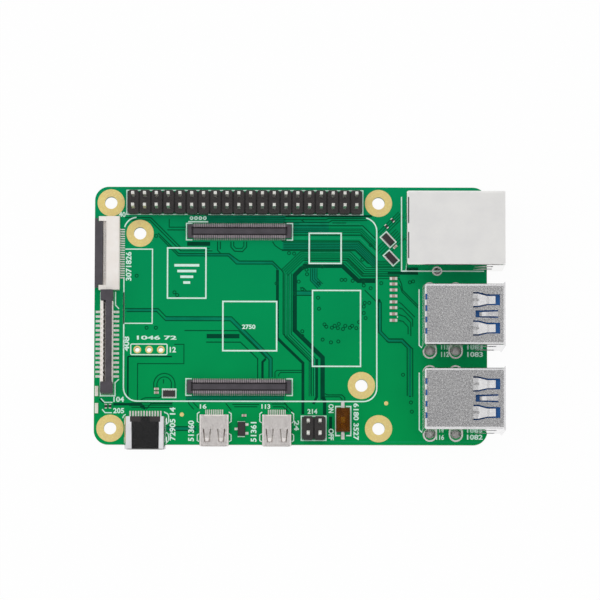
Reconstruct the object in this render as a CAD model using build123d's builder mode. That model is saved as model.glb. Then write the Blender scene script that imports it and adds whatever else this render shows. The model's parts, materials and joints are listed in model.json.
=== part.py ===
# Carrier board for a plug-in computer module, 85 x 56 mm, with the ports of a single board computer.
# Frame: the origin is the middle of the four mounting holes on the underside of the board,
# +X runs towards the network jack, +Y towards the long pin header and +Z out of the component side.
from math import hypot
import os

from build123d import *

os.makedirs("parts", exist_ok=True)

# ---- board ----
board_length = 85.0
board_width = 56.0
board_thickness = 1.6
board_corner = 3.0
hole_spacing_x = 58.0
hole_spacing_y = 49.0
hole_margin = 3.5
mount_hole = 2.7
mount_pad = 5.9
module_hole_spacing_x = 48.0
module_hole_spacing_y = 33.0
module_x = 1.3
module_y = 1.35
pad_thickness = 0.04
test_pad = 0.9
test_pads_at = [(-13.5, -21.5), (30.65, -19.0)]

# ---- clearances ----
fit = 0.05
hole_gap = 0.06

# ---- pin headers ----
pin_pitch = 2.54
pin_size = 0.64
pin_height = 8.54
pin_point = 0.18
tail_length = 1.5
header_columns = 20
header_rows = 2
header_height = 2.54
header_notch = 0.62
header_groove_width = 0.34
header_groove_depth = 0.6
pin_grip = 0.01
jumper_columns = 2
jumper_x = 15.0
spare_x = -20.65
spare_y = -7.45
spare_hole = 1.0
spare_pad = 1.65
spare_columns = 3
solder_height = 0.8
solder_skirt = 0.24
solder_gap = 0.05

# ---- network jack ----
jack_y = 17.75
jack_width = 16.0
jack_height = 13.4
jack_depth = 21.1
jack_overhang = 3.3
jack_sheet = 0.3
jack_bend = 0.5
jack_slot_width = 0.26
jack_slot_length = 5.65
jack_slot_gap = 1.9
jack_slot_inset = 0.25
jack_peg_from_back = 7.0
jack_peg_width = 1.2
jack_peg_hole = 1.7
jack_post = 3.2
jack_post_spread = 12.7
jack_post_from_front = 9.2
jack_post_length = 1.3
jack_finger_width = 1.8
jack_finger_length = 3.6
jack_finger_drop = 0.15
jack_finger_slit = 0.3
jack_finger_gap = 0.4
jack_finger_from_front = 6.5
jack_finger_levels = (4.7, 9.65)
jack_finger_room = 0.6
plug_width = 11.9
plug_height = 6.9
plug_floor = 3.9
plug_depth = 13.2
latch_width = 6.4
latch_depth_below = 2.6
jack_contacts = 8
jack_contact_pitch = 1.02
jack_contact_width = 0.45
jack_contact_sheet = 0.3
jack_contact_bend_from_front = 3.2
jack_contact_slope_length = 5.6
jack_contact_drop = 3.1
coil_block_depth = 6.0
coil_block_standoff = 0.5
coil_block_foot = 1.0
coil_lead = 0.46
coil_lead_columns = 5
coil_lead_pitch = 2.04
coil_lead_row_gap = 3.6
light_width = 2.6
light_height = 2.2
light_depth = 9.0
light_beyond_plug = 0.6
light_below_plug = 0.5

# ---- double data ports ----
stack_centres = {"upper": -1.0, "lower": -19.0}
stack_width = 13.1
stack_height = 15.8
stack_depth = 16.9
stack_overhang = 2.7
stack_sheet = 0.3
stack_bend = 0.55
lip_length = 0.4
lip_angle = 42.0
port_height = 6.0
stack_floor_length = 9.6
tongue_thickness = 1.9
tongue_width = 11.3
tongue_below_roof = 1.3
tongue_setback = 0.6
carrier_depth = 5.9
stack_contacts = 9
stack_contact_pitch = 1.08
stack_contact_width = 0.5
stack_contact_sheet = 0.2
stack_contact_from_tip = 0.6
stack_tail_rows = (0.55, 2.7)
stack_leg_places = (1.8, 7.4)
stack_leg_width = 1.2
stack_leg_hole = 2.4
finger_slit = 0.34
finger_spread = 3.03
finger_from_front = 6.5
finger_tip_gap = 0.95
middle_finger_from_front = 1.14
middle_finger_tip_gap = 0.9
side_finger_level = 1.55
side_finger_from_front = 5.6
side_finger_tip_gap = 0.5
rib_length = 2.3
rib_width = 0.6
rib_depth = 0.2
rib_past_root = 0.15
rear_notches = 4
rear_notch_pitch = 2.43
rear_notch_length = 1.25
rear_notch_depth = 0.75

# ---- oval power port ----
power_x = -21.35
power_width = 8.94
power_height = 3.2
power_length = 7.0
power_overhang = 1.1
power_sheet = 0.3
power_contacts = 12
power_pitch = 0.6
power_contact_width = 0.28
power_contact_sheet = 0.14
power_tongue_width = 6.7
power_tongue_thickness = 0.7
power_tongue_setback = 1.5
power_carrier_length = 2.3
power_lead_reach = 1.2
power_leg_width = 1.1
power_leg_places = (0.3, 4.4)
power_leg_slot_width = 0.6
power_leg_slot_length = 1.7
power_leg_depth = 0.9
power_oval_spread = 3.65
power_oval_length = 1.2
power_oval_width = 0.8
power_oval_depth = 0.2
power_oval_from_back = 2.1
power_step_spread = 4.2
power_step_length = 2.3
power_step_width = 1.2
power_contact_setback = 0.3

# ---- small video ports ----
video_centres = {"left": -6.5, "right": 7.0}
video_width = 6.4
video_height = 3.0
video_length = 6.7
video_overhang = 0.4
video_sheet = 0.25
video_chamfer = 0.8
video_bend = 0.35
video_finger_spread = 3.04
video_finger_from_front = 3.6
video_finger_slit = 0.28
video_finger_tip_gap = 0.15
video_dimple_spread = 3.84
video_dimple_length = 0.8
video_dimple_width = 0.45
video_dimple_depth = 0.08
video_dimple_from_back = 1.45
video_contacts = 10
video_pitch = 0.4
video_contact_width = 0.18
video_contact_sheet = 0.12
video_lead_reach = 1.15
video_tongue_width = 4.2
video_tongue_thickness = 0.6
video_tongue_setback = 1.4
video_carrier_length = 2.0
video_shoulder = 0.9
video_roof_setback = 0.3
video_run_height = 1.95
video_contact_setback = 0.3
video_leg_width = 0.8
video_leg_places = (0.6, 4.9)

# ---- display ribbon connector ----
display_x = -27.05
display_y = 13.4
display_width = 15.95
display_depth = 2.95
display_height = 2.0
display_arm_length = 1.6
display_arm_width = 1.0
display_arm_height = 1.6
display_floor_height = 0.5
display_contacts = 22
display_pitch = 0.5
display_contact_width = 0.2
display_contact_sheet = 0.14
display_lead_reach = 0.95
display_beam_reach = 0.55
display_beam_level = 1.2
display_edge = 0.2
latch_pivot_from_arm_tip = 0.6
latch_pivot_level = 1.25
latch_thickness = 0.7
latch_reach = 1.45
latch_wing_start = 0.78
latch_wing_width = 15.1
latch_pin = 0.36
latch_side_gap = 0.12

# ---- camera ribbon connector ----
camera_x = -29.68
camera_y = -6.05
camera_width = 22.3
camera_depth = 2.65
camera_height = 5.5
camera_base_height = 0.8
camera_comb_depth = 0.6
camera_slot_depth = 0.42
camera_wall = 0.2
camera_wall_height = 4.7
camera_shelf_height = 3.7
camera_end_length = 2.3
camera_play = 0.12
camera_contacts = 15
camera_pitch = 1.0
camera_contact_width = 0.4
camera_contact_sheet = 0.15
camera_lead_reach = 1.1
camera_contact_shift = -0.25
camera_comb_drop = 0.3
camera_comb_slit = 2.4
camera_bar_inset = 0.3
camera_blade_drop = 0.8
camera_edge = 0.15

# ---- module connectors ----
connector_x = -1.15
connector_centres = {"upper": 18.25, "lower": -15.55}
connector_length = 22.5
connector_width = 2.9
connector_height = 1.3
connector_wall = 0.5
connector_end_wall = 0.85
connector_floor = 0.35
connector_island_width = 1.15
connector_island_end_gap = 0.43
connector_island_drop = 0.25
connector_contacts = 50
connector_pitch = 0.4
connector_contact_width = 0.2
connector_contact_sheet = 0.06
connector_lead_reach = 0.4
connector_edge = 0.2

# ---- mode switch ----
switch_x = 21.28
switch_y = -22.72
switch_width = 2.95
switch_length = 5.1
switch_height = 2.45
switch_slot_width = 1.0
switch_slot_length = 2.5
switch_slot_shift = -0.55
switch_slot_depth = 0.9
switch_knob_length = 1.2
switch_knob_height = 0.7
switch_film = 0.05
switch_edge = 0.15
switch_knob_edge = 0.1
switch_lead_width = 0.5
switch_lead_sheet = 0.2
switch_lead_reach = 1.35

# ---- small parts on the component side ----
chip_length = 1.0
chip_width = 0.5
chip_height = 0.45
chip_cap = 0.22
chip_edge = 0.05
column_chip_length = 1.65
column_chip_width = 0.62
column_chip_cap = 0.5
chip_column_x = 32.25
chip_column_y = (8.1, 6.9, 5.6, 4.3, 3.0, 1.75, 0.4, -1.0)
chips_at = [(32.6, 15.0, 45), (-0.05, -21.7, 0), (-19.0, -16.0, 0), (-19.0, -16.8, 0)]
resistors_at = [(32.05, 20.8, -48), (30.75, 19.45, -48), (-29.9, -19.75, 90), (-29.0, -19.75, 90)]
resistor_height = 0.4
array_length = 2.6
array_width = 1.3
array_height = 0.6
arrays_at = [(31.1, 16.6, -47), (31.75, 12.6, -47), (-16.3, -17.0, 0)]
array_leads = 5
array_lead_pitch = 0.5
array_lead_width = 0.2
array_lead_reach = 0.2
transistor_x = -0.6
transistor_y = -24.6
transistor_width = 1.6
transistor_length = 3.0
transistor_height = 1.0
transistor_lead_width = 0.42
transistor_lead_reach = 0.6
transistor_lead_spread = 1.9
lead_sheet = 0.12
package_edge = 0.1
edge_light_inset = 0.2
edge_light_width = 0.75
edge_light_length = 2.2
edge_light_height = 0.7
edge_lights_y = (-16.5, -20.2)

# ---- parts on the underside ----
card_socket_x = -24.9
card_socket_y = 4.0
card_socket_length = 14.8
card_socket_width = 13.6
card_socket_height = 1.4
card_sheet = 0.15
card_tray_height = 0.45
card_contacts = 8
card_contact_pitch = 1.1
card_contact_width = 0.5
card_contact_length = 5.0
card_lead_reach = 0.7
card_contact_drop = 0.75
card_contact_tip = 0.3
card_tray_setback = 1.2
card_window_length = 4.5
card_window_width = 1.1
card_window_spread = 6.1
card_window_shift = 1.0
hub_chip_size = 9.0
hub_chip_height = 0.9
hub_chip_x = 23.0
hub_chip_y = 2.0
hub_pads_each_side = 16
hub_pad_pitch = 0.5
hub_pad_width = 0.25
hub_pad_length = 0.4
hub_pad_height = 0.05
hub_pad_inset = 0.05
hub_heat_pad = 5.4
under_edge = 0.12
coil_size = 4.0
coil_height = 1.4
coil_corner = 0.9
coil_edge = 0.2
coil_x = -4.0
coil_y = -9.0
crystal_length = 3.2
crystal_width = 2.5
crystal_height = 0.75
crystal_corner = 0.4
crystal_x = 15.0
crystal_y = 6.0
memory_length = 5.0
memory_width = 3.9
memory_height = 1.35
memory_standoff = 0.1
memory_x = 7.0
memory_y = 8.0
memory_leads = 4
memory_lead_pitch = 1.27
memory_lead_width = 0.4
memory_lead_reach = 1.0
regulator_size = 3.0
regulator_height = 0.8
regulators_at = [(-10.5, -9.0), (4.5, -9.0)]
under_chips_at = [
    (-8.0, -13.5, 0), (-4.0, -13.5, 0), (0.0, -13.5, 0), (4.0, -13.5, 0), (8.0, -9.0, 90), (-14.0, -9.0, 90),
    (16.2, -1.0, 90), (16.2, 3.0, 90), (20.0, 9.4, 0), (23.0, 9.4, 0), (26.0, 9.4, 0), (20.0, -5.4, 0),
    (23.0, -5.4, 0), (26.0, -5.4, 0), (30.2, -1.0, 90), (30.2, 3.0, 90), (12.6, 3.2, 0), (17.6, 3.2, 0),
]

# ---- places worked out from the sizes ----
left_edge = -hole_spacing_x / 2 - hole_margin
right_edge = left_edge + board_length
bottom_edge = -board_width / 2
board_top = board_thickness
header_y = hole_spacing_y / 2
jumper_y = -hole_spacing_y / 2
pin_hole = pin_size * 2**0.5 + 2 * hole_gap
module_holes = [
    (module_x - module_hole_spacing_x / 2, module_y + module_hole_spacing_y / 2),
    (module_x + module_hole_spacing_x / 2, module_y - module_hole_spacing_y / 2),
]
header_pins_at = [
    (pin_pitch * (column - (header_columns - 1) / 2), header_y + pin_pitch * (row - (header_rows - 1) / 2))
    for column in range(header_columns)
    for row in range(header_rows)
]
jumper_pins_at = [
    (jumper_x + pin_pitch * (column - (jumper_columns - 1) / 2), jumper_y + pin_pitch * (row - 0.5))
    for column in range(jumper_columns)
    for row in range(2)
]
jack_back = right_edge + jack_overhang - jack_depth
jack_front = right_edge + jack_overhang
jack_roof = board_top + jack_height
jack_pegs_at = [
    (jack_back + jack_peg_from_back, jack_y + side * (jack_width - jack_sheet) / 2) for side in (-1, 1)
]
jack_posts_at = [
    (jack_front - jack_post_from_front, jack_y + side * jack_post_spread / 2) for side in (-1, 1)
]
coil_block_x = jack_back + jack_sheet + fit + coil_block_depth / 2
coil_leads_at = [
    (coil_block_x + side * coil_lead_row_gap / 2,
     jack_y + coil_lead_pitch * (column - (coil_lead_columns - 1) / 2))
    for column in range(coil_lead_columns)
    for side in (-1, 1)
]
coil_lead_hole = coil_lead * 2**0.5 + 2 * hole_gap
stack_back = right_edge + stack_overhang - stack_depth
stack_front = right_edge + stack_overhang
stack_roof = board_top + stack_height
stack_contact_shifts = [
    stack_contact_pitch * (column - (stack_contacts - 1) / 2) for column in range(stack_contacts)
]
stack_tail_xs = [stack_back + stack_sheet + inset for inset in stack_tail_rows]
stack_tails_at = [
    (x, centre + shift)
    for centre in stack_centres.values()
    for x in stack_tail_xs
    for shift in stack_contact_shifts
]
stack_legs_at = [
    (stack_back + place, centre + side * (stack_width - stack_sheet) / 2)
    for centre in stack_centres.values()
    for place in stack_leg_places
    for side in (-1, 1)
]
stack_tail_hole = hypot(stack_contact_width, stack_contact_sheet) + 2 * hole_gap
power_back = bottom_edge - power_overhang + power_length
power_legs_at = [
    (power_x + side * (power_width - power_sheet) / 2, power_back - place - power_leg_width / 2)
    for side in (-1, 1)
    for place in power_leg_places
]
video_back = bottom_edge - video_overhang + video_length

on_top = (Align.CENTER, Align.CENTER, Align.MIN)
hanging = (Align.CENTER, Align.CENTER, Align.MAX)


def block(x, y, z, mode=Mode.ADD):
    # a box from low to high along each axis
    with Locations(((x[0] + x[1]) / 2, (y[0] + y[1]) / 2, (z[0] + z[1]) / 2)):
        Box(x[1] - x[0], y[1] - y[0], z[1] - z[0], mode=mode)


def facing_x(x, y=0, z=0):
    # an upright plane whose own x runs along Y and whose own y runs up
    return Plane(origin=(x, y, z), x_dir=(0, 1, 0), z_dir=(1, 0, 0))


def facing_y(y, x=0, z=0):
    # an upright plane whose own x runs along X, whose own y runs up and which looks along -Y
    return Plane(origin=(x, y, z), x_dir=(1, 0, 0), z_dir=(0, -1, 0))


def rectangle(x, y, mode=Mode.ADD):
    # a flat rectangle from low to high in the sketch's own directions
    with Locations(((x[0] + x[1]) / 2, (y[0] + y[1]) / 2)):
        Rectangle(x[1] - x[0], y[1] - y[0], mode=mode)


def row(count, pitch):
    return [pitch * (place - (count - 1) / 2) for place in range(count)]


def spring_finger(stations, sheet):
    # stations are (reach, drop, half width): a tapered finger that leaves a flat wall along its own +X
    top = [(reach, -drop) for reach, drop, half in stations]
    bottom = [(reach, -drop - sheet) for reach, drop, half in reversed(stations)]
    with BuildPart() as finger:
        with BuildSketch(facing_y(0)):
            Polygon(*top, *bottom, align=None)
        extrude(amount=max(half for reach, drop, half in stations), both=True)
        with BuildSketch(Plane.XY.offset(-max(drop for reach, drop, half in stations) - 2 * sheet)):
            finger_outline(stations, 0)
        extrude(amount=max(drop for reach, drop, half in stations) + 3 * sheet, mode=Mode.INTERSECT)
    return finger.part


def finger_window(stations, slit, sheet, beyond):
    # the opening that a finger is cut free by: a slit on both sides and more room past its tip
    end = stations[-1]
    longer = stations + [(end[0] + beyond, 0, end[2])]
    with BuildPart() as window:
        with BuildSketch(Plane.XY.offset(-2 * sheet)):
            finger_outline(longer, slit)
        extrude(amount=4 * sheet)
    return window.part


def finger_outline(stations, extra):
    left = [(reach, half + extra) for reach, drop, half in stations]
    right = [(reach, -half - extra) for reach, drop, half in reversed(stations)]
    Polygon(*left, *right, align=None)


# ---- circuit board ----
with BuildPart() as circuit_board:
    with BuildSketch():
        with Locations((left_edge + board_length / 2, 0)):
            RectangleRounded(board_length, board_width, board_corner)
        with GridLocations(hole_spacing_x, hole_spacing_y, 2, 2):
            Circle(mount_hole / 2, mode=Mode.SUBTRACT)
        with Locations(*module_holes):
            Circle(mount_hole / 2, mode=Mode.SUBTRACT)
        with Locations(*header_pins_at, *jumper_pins_at):
            Circle(pin_hole / 2, mode=Mode.SUBTRACT)
        with Locations((spare_x, spare_y)):
            with GridLocations(pin_pitch, 0, spare_columns, 1):
                Circle(spare_hole / 2, mode=Mode.SUBTRACT)
        with Locations(*jack_pegs_at):
            Circle(jack_peg_hole / 2, mode=Mode.SUBTRACT)
        with Locations(*jack_posts_at):
            Circle(jack_post / 2 + fit, mode=Mode.SUBTRACT)
        with Locations(*coil_leads_at):
            Circle(coil_lead_hole / 2, mode=Mode.SUBTRACT)
        with Locations(*stack_tails_at):
            Circle(stack_tail_hole / 2, mode=Mode.SUBTRACT)
        with Locations(*stack_legs_at):
            Circle(stack_leg_hole / 2, mode=Mode.SUBTRACT)
        with Locations(*power_legs_at):
            SlotOverall(power_leg_slot_length, power_leg_slot_width, rotation=90, mode=Mode.SUBTRACT)
    extrude(amount=board_thickness)
circuit_board.part.label = "circuit_board"
export_step(circuit_board.part, "parts/circuit_board.step")

# ---- bare metal pads: rings round the screw holes and the spare header's holes, and two test pads ----
corner_holes = [
    (x, y)
    for x in (-hole_spacing_x / 2, hole_spacing_x / 2)
    for y in (-hole_spacing_y / 2, hole_spacing_y / 2)
]
spare_holes = [(spare_x + x, spare_y) for x in row(spare_columns, pin_pitch)]
with BuildPart() as plated_pads:
    for level in (board_top, -pad_thickness):
        with BuildSketch(Plane.XY.offset(level)):
            for places, pad, hole in (
                (corner_holes + module_holes, mount_pad, mount_hole),
                (spare_holes, spare_pad, spare_hole),
            ):
                with Locations(*places):
                    Circle(pad / 2)
                    Circle(hole / 2, mode=Mode.SUBTRACT)
        extrude(amount=pad_thickness)
    with BuildSketch(Plane.XY.offset(board_top)):
        with Locations(*test_pads_at):
            Circle(test_pad / 2)
    extrude(amount=pad_thickness)
plated_pads.part.label = "plated_pads"
export_step(plated_pads.part, "parts/plated_pads.step")


# ---- pin headers ----
def header_base(x, y, columns, rows):
    # a moulded strip with a notch and a groove between neighbouring pins
    with BuildPart() as base:
        with BuildSketch(Plane.XY.offset(board_top)):
            with Locations((x, y)):
                Rectangle(columns * pin_pitch, rows * pin_pitch)
                with GridLocations(pin_pitch, rows * pin_pitch, columns + 1, 2):
                    Rectangle(header_notch, header_notch, rotation=45, mode=Mode.SUBTRACT)
                with GridLocations(pin_pitch, pin_pitch, columns, rows):
                    Rectangle(pin_size + 2 * pin_grip, pin_size + 2 * pin_grip, mode=Mode.SUBTRACT)
        extrude(amount=header_height)
        with Locations((x, y, board_top + header_height)):
            with GridLocations(pin_pitch, 0, columns - 1, 1):
                Box(header_groove_width, rows * pin_pitch, 2 * header_groove_depth, mode=Mode.SUBTRACT)
    return base


def header_pins(places):
    # square pins with pointed tips, from below the board to their full height above it
    with BuildPart() as pins:
        with Locations(*[(x, y, -tail_length) for x, y in places]):
            Box(pin_size, pin_size, tail_length + board_top + pin_height, align=on_top)
        chamfer(pins.edges().group_by(Axis.Z)[-1], pin_point)
        chamfer(pins.edges().group_by(Axis.Z)[0], pin_point)
    return pins


pin_header_base = header_base(0, header_y, header_columns, header_rows)
pin_header_base.part.label = "pin_header_base"
export_step(pin_header_base.part, "parts/pin_header_base.step")
pin_header_pins = header_pins(header_pins_at)
pin_header_pins.part.label = "pin_header_pins"
export_step(pin_header_pins.part, "parts/pin_header_pins.step")
jumper_header_base = header_base(jumper_x, jumper_y, jumper_columns, 2)
jumper_header_base.part.label = "jumper_header_base"
export_step(jumper_header_base.part, "parts/jumper_header_base.step")
jumper_header_pins = header_pins(jumper_pins_at)
jumper_header_pins.part.label = "jumper_header_pins"
export_step(jumper_header_pins.part, "parts/jumper_header_pins.step")

# ---- solder joints under the board, one round each lead that passes through it ----
with BuildPart() as solder_joints:
    for places, hole, lead_x, lead_y, spacing in (
        (header_pins_at + jumper_pins_at, pin_hole, pin_size, pin_size, pin_pitch),
        (coil_leads_at, coil_lead_hole, coil_lead, coil_lead, coil_lead_pitch),
        (stack_tails_at, stack_tail_hole, stack_contact_sheet, stack_contact_width, stack_contact_pitch),
        (stack_legs_at, stack_leg_hole, stack_leg_width, stack_sheet, stack_width),
        (jack_pegs_at, jack_peg_hole, jack_peg_width, jack_sheet, jack_width),
    ):
        skirt = min(hole / 2 + solder_skirt, (spacing - solder_gap) / 2)
        with Locations(*[(x, y, -pad_thickness) for x, y in places]):
            Cone(hypot(lead_x, lead_y) / 2 + fit, skirt, solder_height, align=hanging)
        with Locations(*[(x, y, 0) for x, y in places]):
            Box(lead_x, lead_y, 3 * solder_height, mode=Mode.SUBTRACT)
solder_joints.part.label = "solder_joints"
export_step(solder_joints.part, "parts/solder_joints.step")

# ---- network jack ----
jack_low = jack_y - jack_width / 2
jack_high = jack_y + jack_width / 2
jack_finger = [
    (0, 0, jack_finger_width / 2),
    (jack_finger_length * 0.7, jack_finger_drop, jack_finger_width * 0.45),
    (jack_finger_length, jack_finger_drop * 0.7, jack_finger_width * 0.4),
]
jack_finger_part = spring_finger(jack_finger, jack_sheet)
jack_window_part = finger_window(jack_finger, jack_finger_slit, jack_sheet, jack_finger_gap)
jack_finger_root = jack_front - jack_finger_from_front
with BuildPart() as network_jack_shell:
    block((jack_back, jack_front), (jack_low, jack_high), (board_top, jack_roof))
    fillet(network_jack_shell.edges().filter_by(Axis.X).group_by(Axis.Z)[-1], jack_bend)
    fillet(network_jack_shell.edges().filter_by(Axis.Z).group_by(Axis.X)[0], jack_bend)
    block((jack_back + jack_sheet, jack_front + fit), (jack_low + jack_sheet, jack_high - jack_sheet),
          (board_top - fit, jack_roof - jack_sheet), Mode.SUBTRACT)
    slot_x = jack_back + jack_slot_inset + jack_slot_width / 2
    with Locations((slot_x, jack_y, jack_roof)):
        with GridLocations(0, jack_slot_length + jack_slot_gap, 1, 2):
            Box(jack_slot_width, jack_slot_length, 4 * jack_sheet, mode=Mode.SUBTRACT)
    for side, turn in ((-1, 90), (1, -90)):
        for level in jack_finger_levels:
            wall = (jack_finger_root, jack_y + side * jack_width / 2, board_top + level)
            with Locations(Location(wall, (turn, 0, 0))):
                add(jack_window_part, mode=Mode.SUBTRACT)
                add(jack_finger_part)
    with Locations(*[(x, y, -tail_length) for x, y in jack_pegs_at]):
        Box(jack_peg_width, jack_sheet, tail_length + board_top + jack_sheet, align=on_top)
network_jack_shell.part.label = "network_jack_shell"
export_step(network_jack_shell.part, "parts/network_jack_shell.step")

housing_back = jack_back + jack_sheet + coil_block_depth + 2 * fit
plug_seat = board_top + plug_floor
jack_room_x = (jack_finger_root - fit, jack_finger_root + jack_finger_length + jack_finger_gap + 3 * fit)
jack_room_half = jack_finger_width / 2 + jack_finger_slit + 2 * fit
light_roof = plug_seat - light_below_plug
light_spread = plug_width - light_width + 2 * light_beyond_plug
light_rows = [jack_y + light_y for light_y in row(2, light_spread)]
with BuildPart() as network_jack_housing:
    block((housing_back, jack_front - fit), (jack_low + jack_sheet + fit, jack_high - jack_sheet - fit),
          (board_top, jack_roof - jack_sheet - fit))
    # room beside the block for the shell's side fingers
    for wall in (jack_low + jack_sheet, jack_high - jack_sheet):
        for level in jack_finger_levels:
            block(jack_room_x, (wall - jack_finger_room / 2, wall + jack_finger_room / 2),
                  (board_top + level - jack_room_half, board_top + level + jack_room_half), Mode.SUBTRACT)
    block((jack_front - plug_depth, jack_front), (jack_y - plug_width / 2, jack_y + plug_width / 2),
          (plug_seat, plug_seat + plug_height), Mode.SUBTRACT)
    block((jack_front - plug_depth, jack_front), (jack_y - latch_width / 2, jack_y + latch_width / 2),
          (plug_seat - latch_depth_below, plug_seat + fit), Mode.SUBTRACT)
    for light_y in light_rows:
        block((jack_front - light_depth - fit, jack_front),
              (light_y - light_width / 2 - fit, light_y + light_width / 2 + fit),
              (light_roof - light_height - 2 * fit, light_roof), Mode.SUBTRACT)
    with Locations(*[(x, y, board_top) for x, y in jack_posts_at]):
        Cylinder(jack_post / 2, jack_post_length, align=hanging)
network_jack_housing.part.label = "network_jack_housing"
export_step(network_jack_housing.part, "parts/network_jack_housing.step")

with BuildPart() as network_jack_lights:
    for light_y in light_rows:
        block((jack_front - light_depth, jack_front - fit),
              (light_y - light_width / 2, light_y + light_width / 2),
              (light_roof - light_height - fit, light_roof - fit))
network_jack_lights.part.label = "network_jack_lights"
export_step(network_jack_lights.part, "parts/network_jack_lights.step")

# each contact lies under the cavity's ceiling, folds at its front end and slopes back down to meet the plug
ceiling = plug_seat + plug_height
contact_back = jack_front - plug_depth
contact_bend = jack_front - jack_contact_bend_from_front
contact_tip = (contact_bend - jack_contact_slope_length, ceiling - jack_contact_drop)
with BuildPart() as network_jack_contacts:
    with BuildSketch(*[facing_y(jack_y + y) for y in row(jack_contacts, jack_contact_pitch)]):
        rectangle((contact_back, contact_bend), (ceiling - jack_contact_sheet, ceiling))
        with BuildLine():
            Polyline((contact_bend, ceiling), (contact_bend, ceiling - 2 * jack_contact_sheet), contact_tip,
                     (contact_tip[0] - 0.6 * jack_contact_sheet, contact_tip[1] + 0.8 * jack_contact_sheet),
                     (contact_bend - jack_contact_sheet, ceiling - jack_contact_sheet),
                     (contact_bend - jack_contact_sheet, ceiling), close=True)
        make_face()
    extrude(amount=jack_contact_width / 2, both=True)
network_jack_contacts.part.label = "network_jack_contacts"
export_step(network_jack_contacts.part, "parts/network_jack_contacts.step")

coil_block_reach = (jack_back + jack_sheet + fit, housing_back - fit)
coil_block_low = jack_low + jack_sheet + fit
coil_block_high = jack_high - jack_sheet - fit
coil_block_floor = board_top + coil_block_standoff
with BuildPart() as network_jack_coil_block:
    block(coil_block_reach, (coil_block_low, coil_block_high),
          (coil_block_floor, jack_roof - jack_sheet - fit))
    for foot in (coil_block_low, coil_block_high - coil_block_foot):
        block(coil_block_reach, (foot, foot + coil_block_foot), (board_top, coil_block_floor))
network_jack_coil_block.part.label = "network_jack_coil_block"
export_step(network_jack_coil_block.part, "parts/network_jack_coil_block.step")
with BuildPart() as network_jack_leads:
    with Locations(*[(x, y, coil_block_floor) for x, y in coil_leads_at]):
        Box(coil_lead, coil_lead, coil_block_floor + tail_length, align=hanging)
network_jack_leads.part.label = "network_jack_leads"
export_step(network_jack_leads.part, "parts/network_jack_leads.step")

# ---- double data ports ----
port_floors = (board_top + stack_sheet, stack_roof - stack_sheet - port_height)
finger_root = stack_front - finger_from_front
# each finger's stations: how far along, how deep and half as wide as it is there
long_finger = [(0, 0, 1.32), (1.1, 0.08, 1.3), (2.95, 0.55, 0.86), (3.5, 0.6, 0.84), (4.8, 0.25, 0.82)]
middle_finger = [(0, 0, 0.52), (2.5, 0.3, 0.46), (3.45, 0.65, 0.43), (3.95, 0.68, 0.42)]
side_finger = [(0, 0, 0.8), (2.6, 0.3, 0.75), (3.8, 0.55, 0.7)]
long_finger_part = spring_finger(long_finger, stack_sheet)
long_window_part = finger_window(long_finger, finger_slit, stack_sheet, finger_tip_gap)
middle_finger_part = spring_finger(middle_finger, stack_sheet)
middle_window_part = finger_window(middle_finger, finger_slit, stack_sheet, middle_finger_tip_gap)
side_finger_part = spring_finger(side_finger, stack_sheet)
side_window_part = finger_window(side_finger, finger_slit, stack_sheet, side_finger_tip_gap)

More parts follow.
